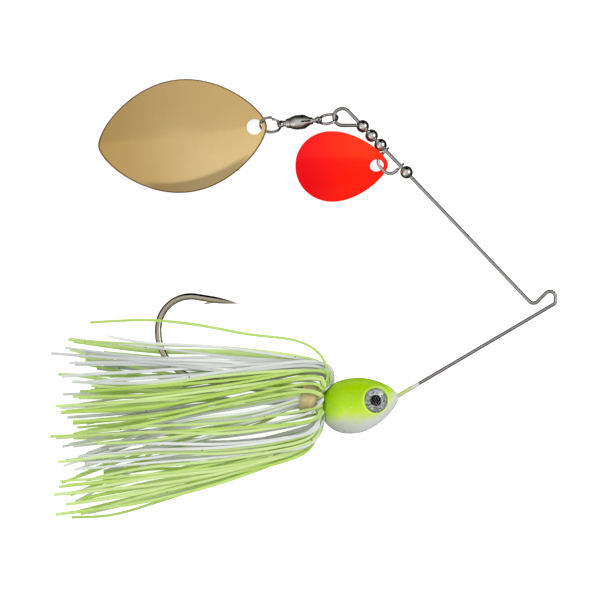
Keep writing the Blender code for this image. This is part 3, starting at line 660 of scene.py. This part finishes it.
def make_foil():
    """Crinkled silver foil with a black pupil printed on it, a painted shadow round its edge from the socket
    and painted blue glints in the pupil.
    """
    look = Look("eye_foil", srgb(190, 196, 198), 0.25, 0.75, Specular_IOR_Level=0.05)
    at = look.coords()
    x, y = look.axis(at, "X"), look.axis(at, "Y")
    from_eye = look.from_eye(x, y, 0.1)
    facets = look.cells(at, 2.1, "Color")
    tone = look.axis(facets, "X")
    silver = look.mix(look.remap(tone, 0.1, 0.95), srgb(112, 122, 122), srgb(226, 232, 228))
    silver = look.mix(look.remap(look.axis(facets, "Y"), 0.78, 0.84, 0.0, 0.55), silver, srgb(150, 190, 150))
    silver = look.mix(look.remap(look.axis(facets, "Z"), 0.84, 0.9, 0.0, 0.5), silver, srgb(190, 165, 205))
    # Painted shadow: the socket's recess darkens the foil's edge to dark green.
    rim = look.remap(from_eye, 2.5, 2.95)
    silver = look.mix(look.times(rim, 0.75), silver, srgb(82, 104, 48))
    # Painted glints: some of the pupil's facets are painted blue.
    black = look.mix(look.remap(tone, 0.88, 0.95, 0.0, 0.7), srgb(7, 7, 9), srgb(40, 60, 120))
    edge = look.plus(from_eye, look.remap(look.noise(at, 2.5, 2.0), 0.3, 0.7, -0.06, 0.06))
    pupil = look.remap(edge, PUPIL_R - 0.05, PUPIL_R + 0.05, 1.0, 0.0)
    look.colour(look.mix(pupil, silver, black))
    look.rough(look.remap(tone, 0.0, 1.0, 0.18, 0.42))
    look.set("Metallic", look.remap(pupil, 0.0, 1.0, 0.6, 0.0))
    look.bump(look.times(look.cells(at, 2.1), look.minus(1.0, pupil)), 0.35, 0.08)
    return look.material


def make_lens():
    """Clear resin: a dark film that is nearly all see-through, so only its gloss shows."""
    look = Look("eye_lens", srgb(40, 42, 46), 0.03, Specular_IOR_Level=0.8, IOR=1.5)
    haze = look.noise(look.coords(), 1.2)
    look.rough(look.remap(haze, 0.4, 0.8, 0.02, 0.08))
    look.set("Alpha", look.remap(haze, 0.3, 0.7, 0.05, 0.1))
    look.bump(haze, 0.02, 0.01)
    return look.material


def make_band():
    """Translucent tan rubber with a moulded grain."""
    look = Look("band_rubber", srgb(192, 178, 126), 0.55, Subsurface_Weight=0.25, Subsurface_Scale=0.001)
    at = look.coords()
    cloud = look.noise(at, 0.9, 4.0)
    grain = look.noise(at, 5.0)
    base = look.mix(look.remap(cloud, 0.35, 0.7), srgb(204, 192, 146), srgb(178, 162, 108))
    look.colour(look.mix(look.remap(grain, 0.45, 0.75, 0.0, 0.3), base, srgb(150, 134, 84)))
    look.rough(look.remap(grain, 0.3, 0.7, 0.45, 0.65))
    look.bump(grain, 0.3, 0.03)
    return look.material


def make_silicone(name, light, deep):
    """Translucent silicone with black flecks in it; each strand has its own shade."""
    look = Look(name, light, 0.38, Specular_IOR_Level=0.35)
    at = look.coords()
    own = look.node("Attribute", {}, "Fac", attribute_name="strand")
    cloud = look.noise(look.coords("UV", (0.12, 1.0, 1)), 1.0)
    shade = look.plus(look.times(own, 0.7), look.times(cloud, 0.5))
    base = look.mix(look.remap(shade, 0.2, 0.95), light, deep)
    flecks = look.remap(look.cells(at, 0.34), 0.055, 0.075, 1.0, 0.0)
    kept = look.remap(look.axis(look.cells(at, 0.34, "Color"), "X"), 0.5, 0.52)
    fleck = look.times(flecks, kept)
    look.colour(look.mix(fleck, base, (0.008, 0.008, 0.008, 1.0)))
    look.rough(look.remap(cloud, 0.3, 0.7, 0.3, 0.5))
    look.set("Alpha", look.remap(fleck, 0.0, 1.0, SILICONE_ALPHA, 1.0))
    look.bump(look.noise(look.coords("UV", (0.3, 6.0, 1)), 1.0), 0.25, 0.03)
    return look.material


# ---- wire form, hook, head

def arm_point(distance):
    """A point on the arm, at a distance down from the end loop."""
    top = meet(ARM_POINT, ARM_ANGLE, Vector((0, ARM_TOP_Y)), 0.0)
    return raised(top - heading(ARM_ANGLE) * distance)


def arm_direction():
    return heading(ARM_ANGLE).to_3d()


def leg_at(x):
    return raised(meet(LEG_POINT, LEG_ANGLE, Vector((x, 0)), pi / 2))


def wire_path():
    """From inside the head round the line tie and up the arm to the end loop's tail."""
    upright = Vector((TIE_X, 0))
    corner = meet(LEG_POINT, LEG_ANGLE, upright, pi / 2)
    crest = meet(TIE_RETURN, TIE_SLANT, upright, pi / 2)
    dip = meet(TIE_RETURN, TIE_SLANT, ARM_POINT, ARM_ANGLE)
    start = arm_point(0)
    path = rounded([
        (leg_at(WIRE_START_X), 0),
        (raised(corner), TIE_CORNER_R),
        (raised(crest), TIE_TOP_R),
        (raised(dip), TIE_DIP_R),
        (start, 0),
    ])
    inward = Vector((-sin(ARM_ANGLE), cos(ARM_ANGLE), 0))
    centre = start + inward * LOOP_R
    sweep = 2 * pi - ARM_ANGLE
    steps = 40
    for k in range(1, steps + 1):
        path.append(centre + Matrix.Rotation(sweep * k / steps, 3, "Z") @ (start - centre))
    path.append(path[-1] + Vector((LOOP_TAIL, 0, 0)))
    return path


def make_wire(steel, paint):
    wire = add("wire", tube(wire_path(), WIRE_R), [steel])
    place(wire, "frame", "spring_wire", "wire_form")
    start, end = [leg_at(x) for x in SLEEVE_ENDS]
    steps = 12
    path = [start.lerp(end, k / steps) for k in range(steps + 1)]
    radii = [SLEEVE_R * (1.25 - 0.25 * min(1.0, k / 3)) for k in range(steps - 1)]
    radii += [SLEEVE_R * 0.92, WIRE_R + 0.02]
    sleeve = add("wire_paint", tube(path, radii), [paint])
    place(sleeve, "frame", "head_paint")


def hook_line(x):
    return raised(meet(HOOK_EYE, HOOK_SHANK_ANGLE, Vector((x, 0)), pi / 2))


def make_hook(look):
    back = Vector((HOOK_BACK_X, 0))
    low = meet(HOOK_EYE, HOOK_SHANK_ANGLE, back, pi / 2)
    high = Vector((HOOK_BACK_X, HOOK_POINT_LINE_Y))
    tip = meet(high, HOOK_POINT_ANGLE, Vector((HOOK_TIP_X, 0)), pi / 2)
    path = rounded([
        (hook_line(HOOK_START_X), 0),
        (raised(low), HOOK_BEND_R),
        (raised(high), HOOK_CROWN_R),
        (raised(tip), 0),
    ], step=0.07)
    tip = path[-1]
    along = (tip - path[-2]).normalized()
    steps = 10
    path[-1:] = [tip - along * HOOK_TAPER * (1 - k / steps) for k in range(steps + 1)]
    radii = [HOOK_R] * (len(path) - steps - 1)
    radii += [max(HOOK_TIP_R, HOOK_R * (1 - (k / steps) ** 1.5)) for k in range(steps + 1)]
    hook = add("hook_wire", tube(path, radii, 28), [look])
    inward = Vector((along.y, -along.x, 0))
    root = tip - along * (BARB_FROM_TIP - BARB_LENGTH)
    end = tip - along * (BARB_FROM_TIP + BARB_OVERHANG) + inward * BARB_RISE
    cut(hook, tube([root, root.lerp(end, 0.5), end], [HOOK_R * 0.68, HOOK_R * 0.4, 0.1], 16), "UNION")
    place(hook, "frame", "hook_wire", "hook")


def head_section(u):
    """Centre, half height and half width of the head at a share u of its length from the rear."""
    if u < HEAD_WIDEST:
        part = (HEAD_WIDEST - u) / HEAD_WIDEST
        size = sqrt(max(0.0, 1 - part**2.4))
    else:
        size = sin(pi * u**0.84) ** 0.62
    centre = flat(HEAD_REAR_X + HEAD_LENGTH * u, HEAD_AXIS_Y + HEAD_NOSE_RISE * u**2.6)
    return centre, HEAD_HALF_HEIGHT * size, HEAD_HALF_HEIGHT * HEAD_WIDTH_RATIO * size


def eye_frame(side):
    """A frame at the socket's floor with its Z out of the cheek; side is 1 for up and -1 for down."""
    out = Vector((sin(EYE_TILT), 0, side * cos(EYE_TILT)))
    return axis_frame(flat(EYE_CENTRE.x, EYE_CENTRE.y, WIRE_Z + side * EYE_FLOOR), out)


def make_head(paint):
    rings = []
    stations = 56
    for i in range(stations + 1):
        u = 0.002 + 0.996 * (1 - cos(pi * i / stations)) / 2
        centre, tall, wide = head_section(u)
        rings.append([centre + Vector((0, tall * cos(t), wide * sin(t))) for t in circle(72)])
    head = add("lead_head", skin(rings), [paint])
    for side in (1, -1):
        cut(head, turned([(EYE_R + 0.06, 0), (EYE_R + 0.1, SOCKET_DEPTH)], eye_frame(side), 96))
    place(head, "frame", "head_paint", "head")


def make_keeper(paint):
    """The head's neck and the barbed rod behind it."""
    front, rear = hook_line(HEAD_REAR_X + 3.0), hook_line(KEEPER_END_X)
    along, length = (rear - front).normalized(), (rear - front).length
    start, end = KEEPER_TAPER
    profile = [(NECK_R, 0.0), (NECK_R, length - start), (KEEPER_END_R + 0.3, length - end)]
    for step in KEEPER_BARBS:
        for rise, along_rod in ((0.62, 0.0), (0.6, 0.25), (0.02, 1.0)):
            profile.append((KEEPER_END_R + rise, length - step + along_rod))
    keeper = add("keeper", turned(softened(profile), axis_frame(front, along), 40), [paint])
    place(keeper, "frame", "head_paint")


def make_eyes(foil, lens):
    edge = EYE_R - 0.02
    disc = [(edge, FOIL_BASE), (edge, FOIL_TOP - 0.05), (EYE_R - 0.1, FOIL_TOP), (0.02, FOIL_TOP)]
    dome = [(0.02, LENS_BASE), (EYE_R - 0.04, LENS_BASE), (edge, LENS_WALL_TOP)]
    steps = 13
    for k in range(1, steps + 1):
        t = pi / 2 * k / steps
        dome.append((max(0.02, EYE_R * cos(t)), LENS_WALL_TOP + LENS_DOME * sin(t)))
    for label, side in (("upper", 1), ("lower", -1)):
        for kind, profile, look in (("foil", disc, foil), ("lens", dome, lens)):
            name = kind + "_" + label
            piece = add(name, turned(profile, eye_frame(side), 72), [look])
            place(piece, "frame", "eye_" + kind, "eye_" + name)


def make_collar(rubber):
    centre = hook_line(BAND_CENTRE_X)
    along = (hook_line(-10) - centre).normalized()
    half = BAND_LENGTH / 2
    edge = BAND_R - BAND_EDGE
    profile = [(BAND_BORE, -half), (BAND_R - 0.5, -half), (edge, -half + 0.3)]
    for k in range(9):
        t = -1 + 2 * k / 8
        profile.append((BAND_R - 0.05 * t * t + 0.03 * cos(7 * t), half * 0.7 * t))
    profile += [(edge, half - 0.3), (BAND_R - 0.5, half), (BAND_BORE, half)]
    collar = add("collar", turned(profile, axis_frame(centre, along), 72, closed=True), [rubber])
    place(collar, "frame", "band", "skirt_band")


# ---- skirt

def around_shank(centre, angle, radius):
    """A point beside the shank, at an angle from the wire plane's up side towards +Z."""
    up = heading(HOOK_SHANK_ANGLE - pi / 2)
    return centre + Vector((up.x * cos(angle), up.y * cos(angle), sin(angle))) * radius


def ribbon(points, start_side, tilt, half_width, half_thick=STRAND_HALF_THICK):
    """Rings of a soft ribbon along a curve; it turns from its root's lie to nearly flat."""
    path = smooth_path(points, 7)
    last = len(path) - 1
    rings = []
    flat_way = Vector((0, -1 if start_side.y < 0 else 1, 0))
    for i, (point, (tangent, _, _)) in enumerate(zip(path, frames(path))):
        share = i / last
        lie = start_side.lerp(flat_way, min(1.0, share * 2.4))
        lie = Matrix.Rotation(tilt * sin(pi * 1.3 * share + 0.4), 3, tangent) @ lie
        side = (lie - tangent * lie.dot(tangent)).normalized()
        up = tangent.cross(side)
        grow = 0.85 + 0.15 * min(1.0, share * 6)
        w, t = half_width * grow, half_thick * (2.0 - grow)
        ring = [(w, 0), (0.72 * w, t), (-0.72 * w, t), (-w, 0), (-0.72 * w, -t), (0.72 * w, -t)]
        rings.append([point + side * a + up * b for a, b in ring])
    return rings


def join(label, strands, looks):
    """One bundle's mesh from (rings, material number, own shade) strands, placed for its CAD node."""
    points, faces, corners, kinds, shades = [], [], [], [], []
    for rings, kind, shade in strands:
        some_points, some_faces, some_corners = skin(rings)
        base = len(points)
        points += some_points
        faces += [tuple(base + n for n in face) for face in some_faces]
        corners += some_corners
        kinds += [kind] * len(some_faces)
        shades += [shade] * len(some_points)
    made = add("strands_" + label, (points, faces, corners), looks, 50.0, kinds)
    made.data.attributes.new("strand", "FLOAT", "POINT").data.foreach_set("value", shades)
    place(made, "frame", "skirt", "skirt_" + label)


def outer_strand(rng, degrees):
    """A strand folded back from the collar's front edge, at its own angle about the neck."""
    from_front = (degrees - 90.0 if degrees < 180.0 else degrees - 270.0) / 90.0
    below = 90.0 <= degrees < 270.0
    parted = copysign(abs(from_front) ** PARTING[below], from_front) * 90.0
    angle = radians(parted + (90.0 if degrees < 180.0 else 270.0))
    across, high = cos(angle), sin(angle)
    above = 1 if high > 0 else -1
    rank = min(degrees, 360.0 - degrees) / 36.0 - 0.5
    front = hook_line(BAND_CENTRE_X + BAND_LENGTH / 2)
    tip_y = FAN_TOP_Y - FAN_STEP_Y * rank + rng.uniform(-1.6, 1.6)
    tip_y = min(-9.0, max(-53.6, tip_y))
    tip_x = rng.triangular(-63.6, -44.0, -58.0)
    reach = across * (SHOULDER_UP if across > 0 else SHOULDER_DOWN) * rng.uniform(0.72, 1.12)
    run = WIRE_Z + (2.3 if above > 0 else -2.4) + high * 1.5 + rng.uniform(-0.35, 0.35)
    fold_x = FOLD_X + rng.uniform(0.0, 1.2) + FOLD_AHEAD * max(0.0, across) ** 3
    shoulder_x = SHOULDER_X + rng.uniform(-1.5, 1.0) + SHOULDER_AHEAD * max(0.0, across) ** 2
    fall = tip_y - front.y
    points = [
        around_shank(hook_line(BAND_CENTRE_X + 1.2), angle, BAND_BORE + 0.25),
        around_shank(front + Vector((0.35, 0, 0)), angle, ROOT_R),
        flat(fold_x, front.y + across * (5.0 if across > 0 else 6.2), WIRE_Z + high * 4.6),
        flat(shoulder_x, front.y + reach, WIRE_Z + above * 0.4 + high * SHOULDER_HIGH),
        flat(-18.0, front.y + fall * 0.42 + reach * 0.6 + rng.uniform(-1.0, 0.8), run),
        flat(-38.0, front.y + fall * 0.76 + reach * 0.2 + rng.uniform(-1.1, 1.0), run),
        flat(tip_x, tip_y, (6.4 if above > 0 else 1.75) + rng.uniform(-0.5, 0.5)),
    ]
    tilt = rng.uniform(-0.9, 0.9)
    return ribbon(points, Vector((0, -high, across)), tilt, STRAND_HALF_WIDTH * rng.uniform(0.85, 1.15))


def inner_strand(rng, degrees, tip_y):
    """A strand straight back from under the collar's rear edge."""
    angle = radians(degrees)
    across, high = cos(angle), sin(angle)
    rear = hook_line(BAND_CENTRE_X - BAND_LENGTH / 2)
    run = WIRE_Z + (1.75 if high > 0.3 else -1.9) + rng.uniform(-0.3, 0.3)
    fall = tip_y - rear.y
    points = [
        around_shank(hook_line(BAND_CENTRE_X - 1.0), angle, BAND_BORE + 0.3),
        around_shank(rear + Vector((-1.0, 0, 0)), angle, INNER_ROOT_R),
        flat(-12.0, rear.y + fall * 0.2 + across * 2.2 + rng.uniform(-0.8, 0.8), run),
        flat(-30.0, rear.y + fall * 0.5 + rng.uniform(-1.2, 1.2), run),
        flat(rng.uniform(-60.0, -50.0), tip_y, 4.0 + rng.uniform(-0.4, 0.4)),
    ]
    tilt = rng.uniform(-0.8, 0.8)
    return ribbon(points, Vector((0, -high, across)), tilt, STRAND_HALF_WIDTH * rng.uniform(0.85, 1.1))


def make_skirt(looks):
    rng = random.Random(SKIRT_SEED)
    for index in range(OUTER_BUNDLES):
        strands = []
        for k in range(OUTER_STRANDS):
            degrees = 36.0 * (index + (k + 0.5) / OUTER_STRANDS) + rng.uniform(-2.5, 2.5)
            if k == 0 or rng.random() < 0.4:
                kind = int(rng.random() < (0.9 if index in (0, OUTER_BUNDLES - 1) else 0.3))
            strands.append((outer_strand(rng, degrees % 360.0), kind, rng.random()))
        for bundle, colour, shade, route in LOOSE_STRANDS:
            if index == bundle:
                points = [Vector(p) for p in route]
                loose = ribbon(points, Vector((0, -1, 0.2)), 0.7, LOOSE_HALF_WIDTH, LOOSE_HALF_THICK)
                strands.append((loose, colour, shade))
        join("outer_%02d" % (index + 1), strands, looks)
    for index, (degrees, tip_y) in enumerate(INNER_ENDS):
        strands = []
        for k in range(INNER_STRANDS):
            spread = k - (INNER_STRANDS - 1) / 2
            rings = inner_strand(rng, degrees + spread * INNER_SPREAD, tip_y - spread * INNER_TIP_STEP)
            strands.append((rings, int(rng.random() < 0.3), rng.random()))
        join("inner_%02d" % (index + 1), strands, looks)


# ---- beads, clevis, blades

def make_bead(name, distance, body, look):
    """A hollow metal bead on the arm, with rolled edges at its hole."""
    where = axis_frame(arm_point(distance), arm_direction())
    edge = asin((BEAD_BORE + 0.06) / BEAD_R)
    steps = 30
    profile = [(BEAD_BORE, -BEAD_R * cos(edge) + BEAD_LIP)]
    for k in range(steps + 1):
        t = -pi / 2 + edge + (pi - 2 * edge) * k / steps
        profile.append((BEAD_R * cos(t), BEAD_R * sin(t)))
    profile.append((BEAD_BORE, BEAD_R * cos(edge) - BEAD_LIP))
    bead = add(name + "_shell", turned(profile, where, 56, closed=True), [look])
    place(bead, body, "nickel", name)


def clevis_frame():
    """Origin between the ears; X up the arm, Y out to the bend of the stirrup."""
    up = arm_direction()
    level = Vector((-up.y, up.x, 0))
    out = level * cos(CLEVIS_SWING) - Vector((0, 0, 1)) * sin(CLEVIS_SWING)
    made = Matrix((up, out, up.cross(out))).transposed().to_4x4()
    made.translation = arm_point(CLEVIS_AT)
    return made


def make_clevis(look):
    where = clevis_frame()
    corners = [
        (Vector((CLEVIS_HALF, 0.75, 0)), 0),
        (Vector((CLEVIS_HALF, CLEVIS_DEPTH, 0)), CLEVIS_BEND_R),
        (Vector((-CLEVIS_HALF, CLEVIS_DEPTH, 0)), CLEVIS_BEND_R),
        (Vector((-CLEVIS_HALF, 0.75, 0)), 0),
    ]
    path = [where @ p for p in rounded(corners, step=0.1)]
    clevis = add("clevis_wire", tube(path, CLEVIS_R, 20), [look])
    up = arm_direction()
    half, inner = EAR_THICK / 2, EAR_R - EAR_EDGE
    ear = [(inner, -half), (EAR_R, -half + EAR_EDGE), (EAR_R, half - EAR_EDGE), (inner, half)]
    for side in (1, -1):
        centre = where @ Vector((side * CLEVIS_HALF, 0.1, 0))
        cut(clevis, turned(ear, axis_frame(centre, up), 48), "UNION")
    cut(clevis, cylinder(where.translation, up, EAR_BORE, 4 * CLEVIS_HALF))
    place(clevis, "clevis", "nickel", "clevis")


def leaf(where, length, half_width, skew, cup, thick, around=168, rings_in=26):
    """A cupped blade, and its faces' material numbers: 0 on top, 1 underneath and 2 at the rim."""
    depth, inner, outer = cup

    def lift(share):
        return depth * (1 - share**inner) ** outer

    outline = []
    for k in range(around):
        turn = 2 * pi * (k + 0.5) / around
        t = 0.0008 + 0.9984 * (1 - cos(turn)) / 2
        half = half_width * sin(pi * (1 - t) ** skew) ** 0.62
        outline.append(Vector((length * t, copysign(half, sin(turn)), 0)))
    centre = Vector((length * (1 - 0.5 ** (1 / skew)), 0, 0))
    top, under = [], []
    shares = [k / rings_in for k in range(1, rings_in)] + [0.983, 1.0]
    for share in shares:
        ring = [centre + (p - centre) * share for p in outline]
        top.append([p + Vector((0, 0, lift(share) + thick / 2)) for p in ring])
        under.append([p + Vector((0, 0, lift(share) - thick / 2)) for p in ring])
    bulge = 1 + RIM_BULGE / half_width
    rim = [[(p - centre) * bulge + centre + Vector((0, 0, lift(1.0) + z)) for p in outline]
           for z in (-thick / 4, thick / 4)]
    points, faces, corners = skin(under + rim + top[::-1], capped=False)
    count = len(points)
    inside = around * (rings_in - 1)
    kinds = [1] * inside + [2] * (around * 5) + [0] * inside
    points += [centre + Vector((0, 0, lift(0.0) + z)) for z in (-thick / 2, thick / 2)]
    for k in range(around):
        n = (k + 1) % around
        faces.append((count, n, k))
        faces.append((count + 1, count - around + k, count - around + n))
        corners += [((0, 0), (0, 0), (0, 0))] * 2
        kinds += [1, 0]
    return ([where @ p for p in points], faces, corners), kinds


def blade_frame(tip, angle, pitch, roll):
    """A frame at a blade's tip with its X towards the far end."""
    spin = Matrix.Rotation(angle, 4, "Z") @ Matrix.Rotation(pitch, 4, "Y") @ Matrix.Rotation(roll, 4, "X")
    return Matrix.Translation(tip) @ spin


def make_blade(name, shape, looks, where, axis, hole, slot):
    """A blade with its hole cut along the given axis."""
    blade = add(name + "_leaf", shape[0], looks, 30.0, shape[1])
    cut(blade, cylinder(where @ Vector((hole[0], 0, 0)), axis, hole[1], HOLE_CUT, 72))
    place(blade, name + "_blade", slot, name + "_blade")


def make_blades(red, nickel, gold, rim):
    up = Vector((0, 0, 1))
    where = blade_frame(FRONT_TIP, FRONT_HEADING, FRONT_PITCH, FRONT_ROLL)
    shape = leaf(where, FRONT_LENGTH, FRONT_HALF_WIDTH, FRONT_SKEW, FRONT_CUP, FRONT_THICK)
    make_blade("front", shape, [red, nickel, red], where, where.to_3x3() @ up, FRONT_HOLE, "red_paint")
    where = blade_frame(REAR_TIP, REAR_HEADING, 0.0, pi)
    shape = leaf(where, REAR_LENGTH, REAR_HALF_WIDTH, 1.0, REAR_CUP, REAR_THICK)
    make_blade("rear", shape, [gold, gold, rim], where, up, REAR_HOLE, "gold_plate")


def chain_frame(distance, tilt=0.0):
    """A frame on the chain's axis: X along the chain, Y in the tilted plane of a ring there."""
    level_way = heading(CHAIN_HEADING)
    slope = cos(CHAIN_DROP)
    along = Vector((level_way.x * slope, level_way.y * slope, -sin(CHAIN_DROP)))
    level = Vector((level_way.y, -level_way.x, 0))
    upward = along.cross(level)
    if upward.z < 0:
        upward = -upward
    across = level * cos(tilt) + upward * sin(tilt)
    made = Matrix((along, across, along.cross(across))).transposed().to_4x4()
    made.translation = CHAIN_START + along * distance
    return made


def along_x(where, distance):
    return where @ Matrix.Translation((distance, 0, 0)) @ Matrix.Rotation(pi / 2, 4, "Y")


def eye_at(chain, distance):
    """Centre and axis of an eye across a swivel part."""
    return chain @ Vector((distance, 0, 0)), chain.to_3x3() @ Vector((0, 1, 0))


def make_welded_ring(look):
    where = chain_frame(WELDED_RING_AT, WELDED_TILT)
    path = [where @ polar(WELDED_RING_R, t) for t in circle(72)]
    ring = add("ring_loop", tube(path, WELDED_WIRE_R, 20, closed=True), [look])
    place(ring, "welded_ring", "nickel", "welded_ring")


def make_barrel(look, dark):
    """The swivel's shell: a hollow barrel with an eye, and a slot whose cut walls are painted near-black as
    the shade inside it.
    """
    chain = chain_frame(0.0, WELDED_TILT)
    profile = softened(BARREL_OUTSIDE) + list(BARREL_INSIDE)
    barrel = add("swivel_shell", turned(profile, along_x(chain, BARREL_START)), [look])
    centre, across = eye_at(chain, BARREL_EYE_AT)
    cut(barrel, turned(softened(BARREL_EYE, 0.05), axis_frame(centre, across), 48), "UNION")
    stem = [chain @ Vector((x, 0, 0)) for x in BARREL_STEM]
    cut(barrel, tube(stem, BARREL_STEM_R, 24), "UNION")
    cut(barrel, cylinder(centre, across, BARREL_EYE_BORE, EYE_CUT, 36))
    where = chain_frame(BARREL_START + SLOT_FROM)
    low, high = SLOT_HEIGHTS
    side = SLOT_HALF_WIDTH
    section = ((-side, low), (side, low), (side, high), (-side, high))
    slot = [[where @ Vector((x, y, z)) for y, z in section] for x in (0.0, SLOT_LENGTH)]
    # The slot's cut walls take a near-black metal as painted shade.
    cut(barrel, skin(slot), look=dark)
    place(barrel, "swivel_barrel", "nickel", "swivel_barrel")


def make_rotor(look):
    """The swivel's shaft, with its flange inside the barrel and its eye outside."""
    chain = chain_frame(0.0, SPLIT_TILT)
    rotor = add("rotor_shaft", turned(softened(ROTOR_SHAFT, 0.06), along_x(chain, BARREL_START), 48), [look])
    centre, across = eye_at(chain, ROTOR_EYE_AT)
    cut(rotor, turned(ROTOR_EYE, axis_frame(centre, across), 48), "UNION")
    cut(rotor, cylinder(centre, across, ROTOR_EYE_BORE, EYE_CUT, 48))
    place(rotor, "swivel_rotor", "nickel", "swivel_rotor")


def make_split_ring(look):
    where = chain_frame(SPLIT_RING_AT, SPLIT_TILT)
    steps = 144
    path = []
    for k in range(steps + 1):
        turn = 4 * pi * k / steps + SPLIT_START_ANGLE
        path.append(where @ polar(SPLIT_RING_R, turn, SPLIT_PITCH * (2 * k / steps - 1)))
    ring = add("split_coil", tube(path, SPLIT_WIRE_R, 14), [look])
    place(ring, "split_ring", "nickel", "split_ring")


# ---- studio

def make_world():
    """Grey studio with a large soft ceiling, a bright window to the right and dark sides."""
    world = bpy.data.worlds.new("studio")
    bpy.context.scene.world = world
    world.use_nodes = True
    tree = world.node_tree
    back = tree.nodes["Background"]
    way = add_node(tree, "TexCoord", {}, "Generated")
    split = add_node(tree, "SeparateXYZ", {0: way}).node

    def step(value, low, high, to_low, to_high):
        inputs = {"Value": value, "From Min": low, "From Max": high, "To Min": to_low, "To Max": to_high}
        return add_node(tree, "MapRange", inputs, interpolation_type="SMOOTHSTEP")

    def toward(direction):
        inputs = {0: way, 1: Vector(direction).normalized()}
        return add_node(tree, "VectorMath", inputs, "Value", operation="DOT_PRODUCT")

    def patch(direction, inner, outer, level):
        """A round patch of light; its level is reached at the inner angle, in degrees."""
        near = toward(direction)
        return step(near, cos(radians(outer)), cos(radians(inner)), 0.0, level)

    def total(a, b, operation="ADD"):
        return add_node(tree, "Math", {0: a, 1: b}, operation=operation)

    ceiling = step(toward((0.05, -0.1, 1.0)), 0.75, 0.772, 0.0, 0.33)
    sides = step(split.outputs["Z"], 0.1, 0.6, 0.03, 0.4)
    panes = [patch(direction, 12.0, 16.0, 3.0) for direction in ((0.75, 0.22, 0.62), (0.76, -0.04, 0.64))]
    window = total(*panes, "MAXIMUM")
    level = total(total(ceiling, sides), window)
    level = total(level, patch((-0.6, -0.45, 0.4), 12.0, 30.0, 0.7))
    level = total(level, patch((0.0, 0.85, 0.45), 8.0, 24.0, -0.36))
    level = total(level, patch((-0.5, -0.28, 0.82), 2.0, 8.0, -0.08))
    level = total(level, step(split.outputs["Y"], -0.1, 0.1, 0.9, 1.03), "MULTIPLY")
    level = total(level, step(split.outputs["X"], -0.6, 0.6, 1.14, 0.8), "MULTIPLY")
    tree.links.new(level, back.inputs["Strength"])
    back.inputs["Color"].default_value = (1.0, 0.99, 0.98, 1.0)


def area_light(name, place_at, size, power):
    data = bpy.data.lights.new(name, "AREA")
    data.shape = "DISK"
    data.size = size
    data.energy = power
    lamp = new_object(name, data)
    lamp.location = place_at
    lamp.rotation_euler = (-Vector(place_at)).to_track_quat("-Z", "Y").to_euler()
    lamp.visible_glossy = False


def make_studio():
    make_world()
    area_light("key", (-0.25, 0.45, 0.6), 0.5, 3.2)
    area_light("fill", (0.5, -0.3, 0.5), 0.6, 1.8)
    floor = Look("floor_card", (0.6, 0.6, 0.6, 1.0), 0.8, Specular_IOR_Level=0.1,
                 Emission_Color=(1, 1, 1, 1), Emission_Strength=0.75)
    corners = [Vector((x, y, 0)) * FLOOR_HALF for x, y in ((-1, -1), (1, -1), (1, 1), (-1, 1))]
    card = add("floor", (corners, [(0, 1, 2, 3)], [((0, 0), (1, 0), (1, 1), (0, 1))]), [floor.material])
    card.visible_glossy = False
    scene = bpy.context.scene
    scene.view_settings.view_transform = "Standard"
    data = bpy.data.cameras.new("camera")
    data.sensor_width = SENSOR
    data.lens = SENSOR * (CAMERA_HEIGHT - WIRE_Z) / VIEW_WIDTH
    data.clip_start = 0.01
    camera = new_object("camera", data)
    camera.location = (0, 0, CAMERA_HEIGHT * MM)
    scene.camera = camera


# ---- build

steel = drawn_metal("spring_steel", srgb(190, 189, 187), 0.22, 0.55)
bronze = drawn_metal("hook_nickel", srgb(214, 202, 182), 0.2, 0.6)
nickel = polished_metal("nickel_plate", srgb(232, 230, 226), 0.055)
# A darker copy of the nickel, as painted shade, for the rings and the clevis.
ring_nickel_shaded = polished_metal("ring_nickel_shaded", srgb(204, 202, 198), 0.1)
brushed = drawn_metal("swivel_nickel", srgb(228, 225, 221), 0.26, 0.75)
head_paint = make_head_paint()
silicone = [
    make_silicone("silicone_chartreuse", srgb(212, 234, 162), srgb(178, 214, 92)),
    make_silicone("silicone_white", srgb(232, 235, 233), srgb(198, 202, 200)),
]

make_wire(steel, make_sleeve_paint())
make_hook(bronze)
make_head(head_paint)
make_keeper(head_paint)
make_eyes(make_foil(), make_lens())
make_collar(make_band())
make_skirt(silicone)
for number in (1, 2, 3):
    bead_name = "spacer_bead_%d" % number
    make_bead(bead_name, BEAD_FIRST + BEAD_PITCH * (number - 1), bead_name, nickel)
make_bead("stop_bead", STOP_BEAD_AT, "frame", nickel)
make_clevis(ring_nickel_shaded)
make_blades(make_red(), nickel, make_gold(), polished_metal("gold_rim", srgb(150, 116, 66), 0.2))
make_welded_ring(ring_nickel_shaded)
# The near-black slot metal is painted shade for the inside of the slot.
make_barrel(brushed, polished_metal("slot_painted_shade", srgb(52, 50, 48), 0.5))
make_rotor(brushed)
make_split_ring(ring_nickel_shaded)
for number in range(1, 7):
    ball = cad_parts["swivel_ball_%d" % number]
    ball.data.materials.clear()
    ball.data.materials.append(nickel)
make_studio()
